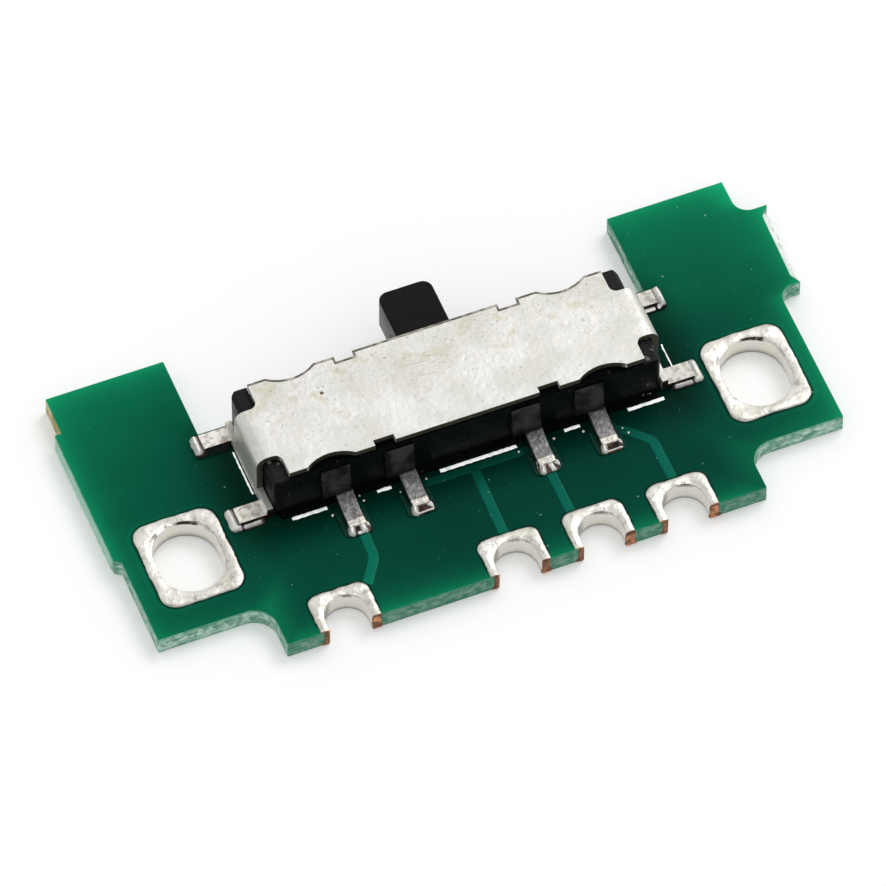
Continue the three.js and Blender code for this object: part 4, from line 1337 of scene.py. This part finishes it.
def fray(name, starts, outward, lengths, seed):
    """Short glass fibres standing out of a snapped edge.

    Each fibre is a four-sided needle: its axis leaves along outward plus a little chance, sags
    with the square of the distance along it, and its thickness falls to a point.
    """
    dice = np.random.default_rng(seed)
    count = len(starts)
    t = np.linspace(0, 1, 4)[None, :, None]
    drift = dice.normal(0, 0.35, (count, 1, 3))
    curl = dice.normal(0, 0.4, (count, 1, 3))
    heading = np.asarray(outward)[:, None] + drift
    length = np.asarray(lengths)[:, None, None]
    axis = starts[:, None] + length * (heading * t + curl * t * t * 0.5)
    angle = (np.arange(4) * math.pi / 2)[None, None, :, None]
    thick = 0.011 * (1.15 - t[..., None]) * dice.uniform(0.6, 1.5, (count, 1, 1, 1))
    not_along_any = np.array([0.3, 0.2, 1.0])
    two = unit(np.cross(heading[:, 0], not_along_any))
    one = unit(np.cross(two, heading[:, 0]))
    turn = np.cos(angle) * one[:, None, None] + np.sin(angle) * two[:, None, None]
    grid = axis[:, :, None] + thick * turn
    grid[..., 2] = np.clip(grid[..., 2], 0.01, MASK + 0.05)
    points_each = 16
    base = (np.arange(count) * points_each)[:, None, None]
    quads = np.array(lattice(4, 4, False, True))[None]
    caps = np.array([[0, 1, 2, 3], [15, 14, 13, 12]])[None]
    faces = np.concatenate([(quads + base).reshape(-1, 4), (caps + base).reshape(-1, 4)])
    piece(name, grid.reshape(-1, 3), faces.tolist(), [FIBRE], "solder_mask", crease=60)


def torn_ledge(name, path, outward, reach, z, seed):
    """Torn laminate along a snapped edge: a lens-shaped section carried along the edge, whose
    reach outwards is a fixed share and jagged waves of two sizes."""
    step = 0.012
    path = run_of(path, step)
    s = np.arange(len(path)) * step
    jagged = 0.72 + 0.25 * wobble(s, 0 * s, seed, 0.3) + 0.25 * wobble(s, 0 * s, seed + 1, 0.05)
    ends = smooth(np.minimum(s, s[::-1]) / 0.06)
    out = reach * np.clip(jagged, 0.12, 1.3) * ends + 0.01
    across = np.array([-0.25, 0.45, 0.85, 1.0, 0.9, 0.6, -0.25])
    up = np.array([0.96, 0.88, 0.68, 0.45, 0.25, 0.08, 0.04])
    torn = wobble(s[:, None], 5 * up[None], seed + 2, 0.12)
    off = out[:, None] * across * (1 + 0.25 * torn)
    x = path[:, 0, None] + outward[0] * off
    y = path[:, 1, None] + outward[1] * off
    height = z[0] + (z[1] - z[0]) * np.broadcast_to(up, x.shape)
    grid = np.stack([x, y, height], -1)
    bar(name, grid, [FIBRE], "solder_mask", crease=20)


def frayed_tabs():
    """Torn laminate and fibres on both snapped tabs."""
    dice = np.random.default_rng(11)
    foot, head = RIGHT_TAB_EDGE
    torn_ledge("torn_right_tab", [foot, head], (0.997, -0.03), 0.2, (0.05, 0.46), 61)
    count = 90
    t = dice.uniform(0, 1, (count, 1))
    plan = np.array(foot) + t * (np.array(head) - np.array(foot)) + (0.05, 0)
    starts = np.concatenate([plan, dice.uniform(0.1, 0.42, (count, 1))], 1)
    outward = np.tile([0.7, 0.15, 0.0], (count, 1))
    fray("frayed_right_tab", starts, outward, dice.uniform(0.04, 0.11, count), 12)

    left = BOARD_LOW[0]
    torn_ledge("torn_left_tab", [(left, 2.48), (left, -1.08)], (-1, 0), 0.05, (0.03, 0.45), 71)
    count = 60
    y = dice.uniform(-1.1, 2.5, count)
    starts = np.stack([np.full(count, left + 0.01), y, dice.uniform(0.04, MASK, count)], -1)
    outward = np.tile([-0.5, 0.1, 0.0], (count, 1))
    fray("frayed_left_tab", starts, outward, dice.uniform(0.02, 0.06, count), 13)


# ---------- pieces ----------

refined("circuit_board", "board", 0.018, BOARD)
refined("switch_cover", "cover_sheet", 0.04, COVER, segments=3)
refined("switch_base", "base_moulding", 0.025, BASE)
refined("slider", "knob_moulding", 0.04, KNOB, segments=3, body="knob")
for number in LEGS:
    refined(f"terminal_{number}", f"terminal_strip_{number}", 0.018, LEG)
slot_plating("left", [(75, 12, 0.95), (60, 4, 0.6), (122, 7, 0.55), (40, 5, 0.3)],
             [(-0.25, -1.08, 0.07, 0.5), (0.78, -0.82, 0.08, 0.35), (0.7, -0.2, 0.08, 0.25),
              (-0.05, -1.1, 0.05, 0.35), (-0.62, 0.72, 0.06, 0.4), (0.5, 0.98, 0.08, 0.3)], 31)
slot_plating("right", [(77, 13, 0.95), (61, 4, 0.85), (138, 9, 0.5), (20, 12, 0.3)],
             [(0.72, -0.62, 0.08, 0.5), (0.86, -0.9, 0.09, 0.35), (-0.35, -1.06, 0.08, 0.4),
              (-0.1, -1.1, 0.06, 0.3), (-0.86, 0.3, 0.05, 0.3)], 38)
slot_arcs = {
    1: [(70, 12, 0.85), (128, 10, 0.35)],
    2: [(76, 15, 0.6), (130, 8, 0.4)],
    3: [(72, 20, 0.8), (150, 10, 0.5)],
    4: [(69, 19, 0.92), (128, 8, 0.4)],
}
for number, arcs in slot_arcs.items():
    edge_contact(number, arcs, 51 + 5 * number)
    cut_copper(number, 91 + 11 * number)
for number in LEGS:
    leg_solder(number, 140 + 9 * number)
for spot, end in enumerate(ENDS):
    for row, place in enumerate(PLACES):
        ground_solder(end, place, 200 + 20 * spot + 10 * row)
solder_balls(77)
traces()
ink_outline()
rear_dark_line()
frayed_tabs()

plain = {"leg_land": LAND, "ground_land": LAND, "contact_bridge": BRONZE}
for name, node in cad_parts.items():
    for start, finish in plain.items():
        if name.startswith(start):
            node.data.materials.clear()
            node.data.materials.append(finish)


# ---------- floor, light and background ----------


def floor():
    """A pale matt floor that keeps the shadow and shows white to the camera where it is clear."""
    finish = bpy.data.materials.new("pale_floor")
    finish.use_nodes = True
    tree = finish.node_tree
    tree.nodes.clear()
    path = add(tree, "ShaderNodeLightPath")
    mirrored = maths("MAXIMUM", path["Is Camera Ray"], path["Is Glossy Ray"])
    seen = maths("MAXIMUM", mirrored, path["Is Transmission Ray"])
    matt = add(tree, "ShaderNodeBsdfDiffuse", {"Color": (0.8, 0.8, 0.8, 1.0)})
    lift = 0.24
    glow = add(tree, "ShaderNodeEmission", {"Color": WHITE, "Strength": seen * lift})
    both = add(tree, "ShaderNodeAddShader", {0: matt, 1: glow})
    feed(tree.nodes.new("ShaderNodeOutputMaterial"), {0: both})
    half, below = 0.6, 0.01 * MM
    z = float(cad_box[0][2]) - below
    mesh = bpy.data.meshes.new("floor")
    mesh.from_pydata([(-half, -half, z), (half, -half, z), (half, half, z), (-half, half, z)],
                     [], [(0, 1, 2, 3)])
    mesh.materials.append(finish)
    plane = placed("floor", mesh)


def tent():
    """A soft light tent: bright walls, a darker opening overhead, white to the camera."""
    world = bpy.data.worlds.new("tent")
    bpy.context.scene.world = world
    world.use_nodes = True
    tree = world.node_tree
    tree.nodes.clear()
    up = axes_of(add(tree, "ShaderNodeTexCoord")["Generated"])[2]
    ramp = add(tree, "ShaderNodeValToRGB", {0: up})
    elements = ramp.node.color_ramp.elements
    stops = [(0.0, 0.55), (0.25, 0.7), (0.5, 0.86), (0.86, 0.86), (0.95, 0.3), (1.0, 0.22)]
    while len(elements) < len(stops):
        elements.new(0.5)
    for element, (at, level) in zip(elements, stops):
        element.position = at
        element.color = (level, level, level, 1.0)
    soft = add(tree, "ShaderNodeBackground", {"Color": ramp, "Strength": 1.0})
    white = add(tree, "ShaderNodeBackground", {"Color": WHITE, "Strength": 1.0})
    camera_ray = add(tree, "ShaderNodeLightPath")["Is Camera Ray"]
    mix = add(tree, "ShaderNodeMixShader", {0: camera_ray, 1: soft, 2: white})
    feed(tree.nodes.new("ShaderNodeOutputWorld"), {0: mix})


def softbox(name, heading, climb, away, side, share):
    """A square lamp aimed at the switch. Share is the part it adds to the light on the floor:
    the power is pi squared times share times distance squared over the sine of its height."""
    a, e = math.radians(heading), math.radians(climb)
    towards = Vector((math.sin(a) * math.cos(e), math.cos(a) * math.cos(e), math.sin(e)))
    data = bpy.data.lights.new(name, "AREA")
    data.shape = "SQUARE"
    data.size = side
    data.energy = math.pi**2 * share * away**2 / math.sin(e)
    lamp = placed(name, data)
    lamp.location = AIM * MM + towards * away
    lamp.rotation_euler = towards.to_track_quat("Z", "Y").to_euler()


floor()
tent()
softbox("right_softbox", 62, 52, 0.5, 0.26, 0.26)
bpy.context.scene.view_settings.view_transform = "Standard"
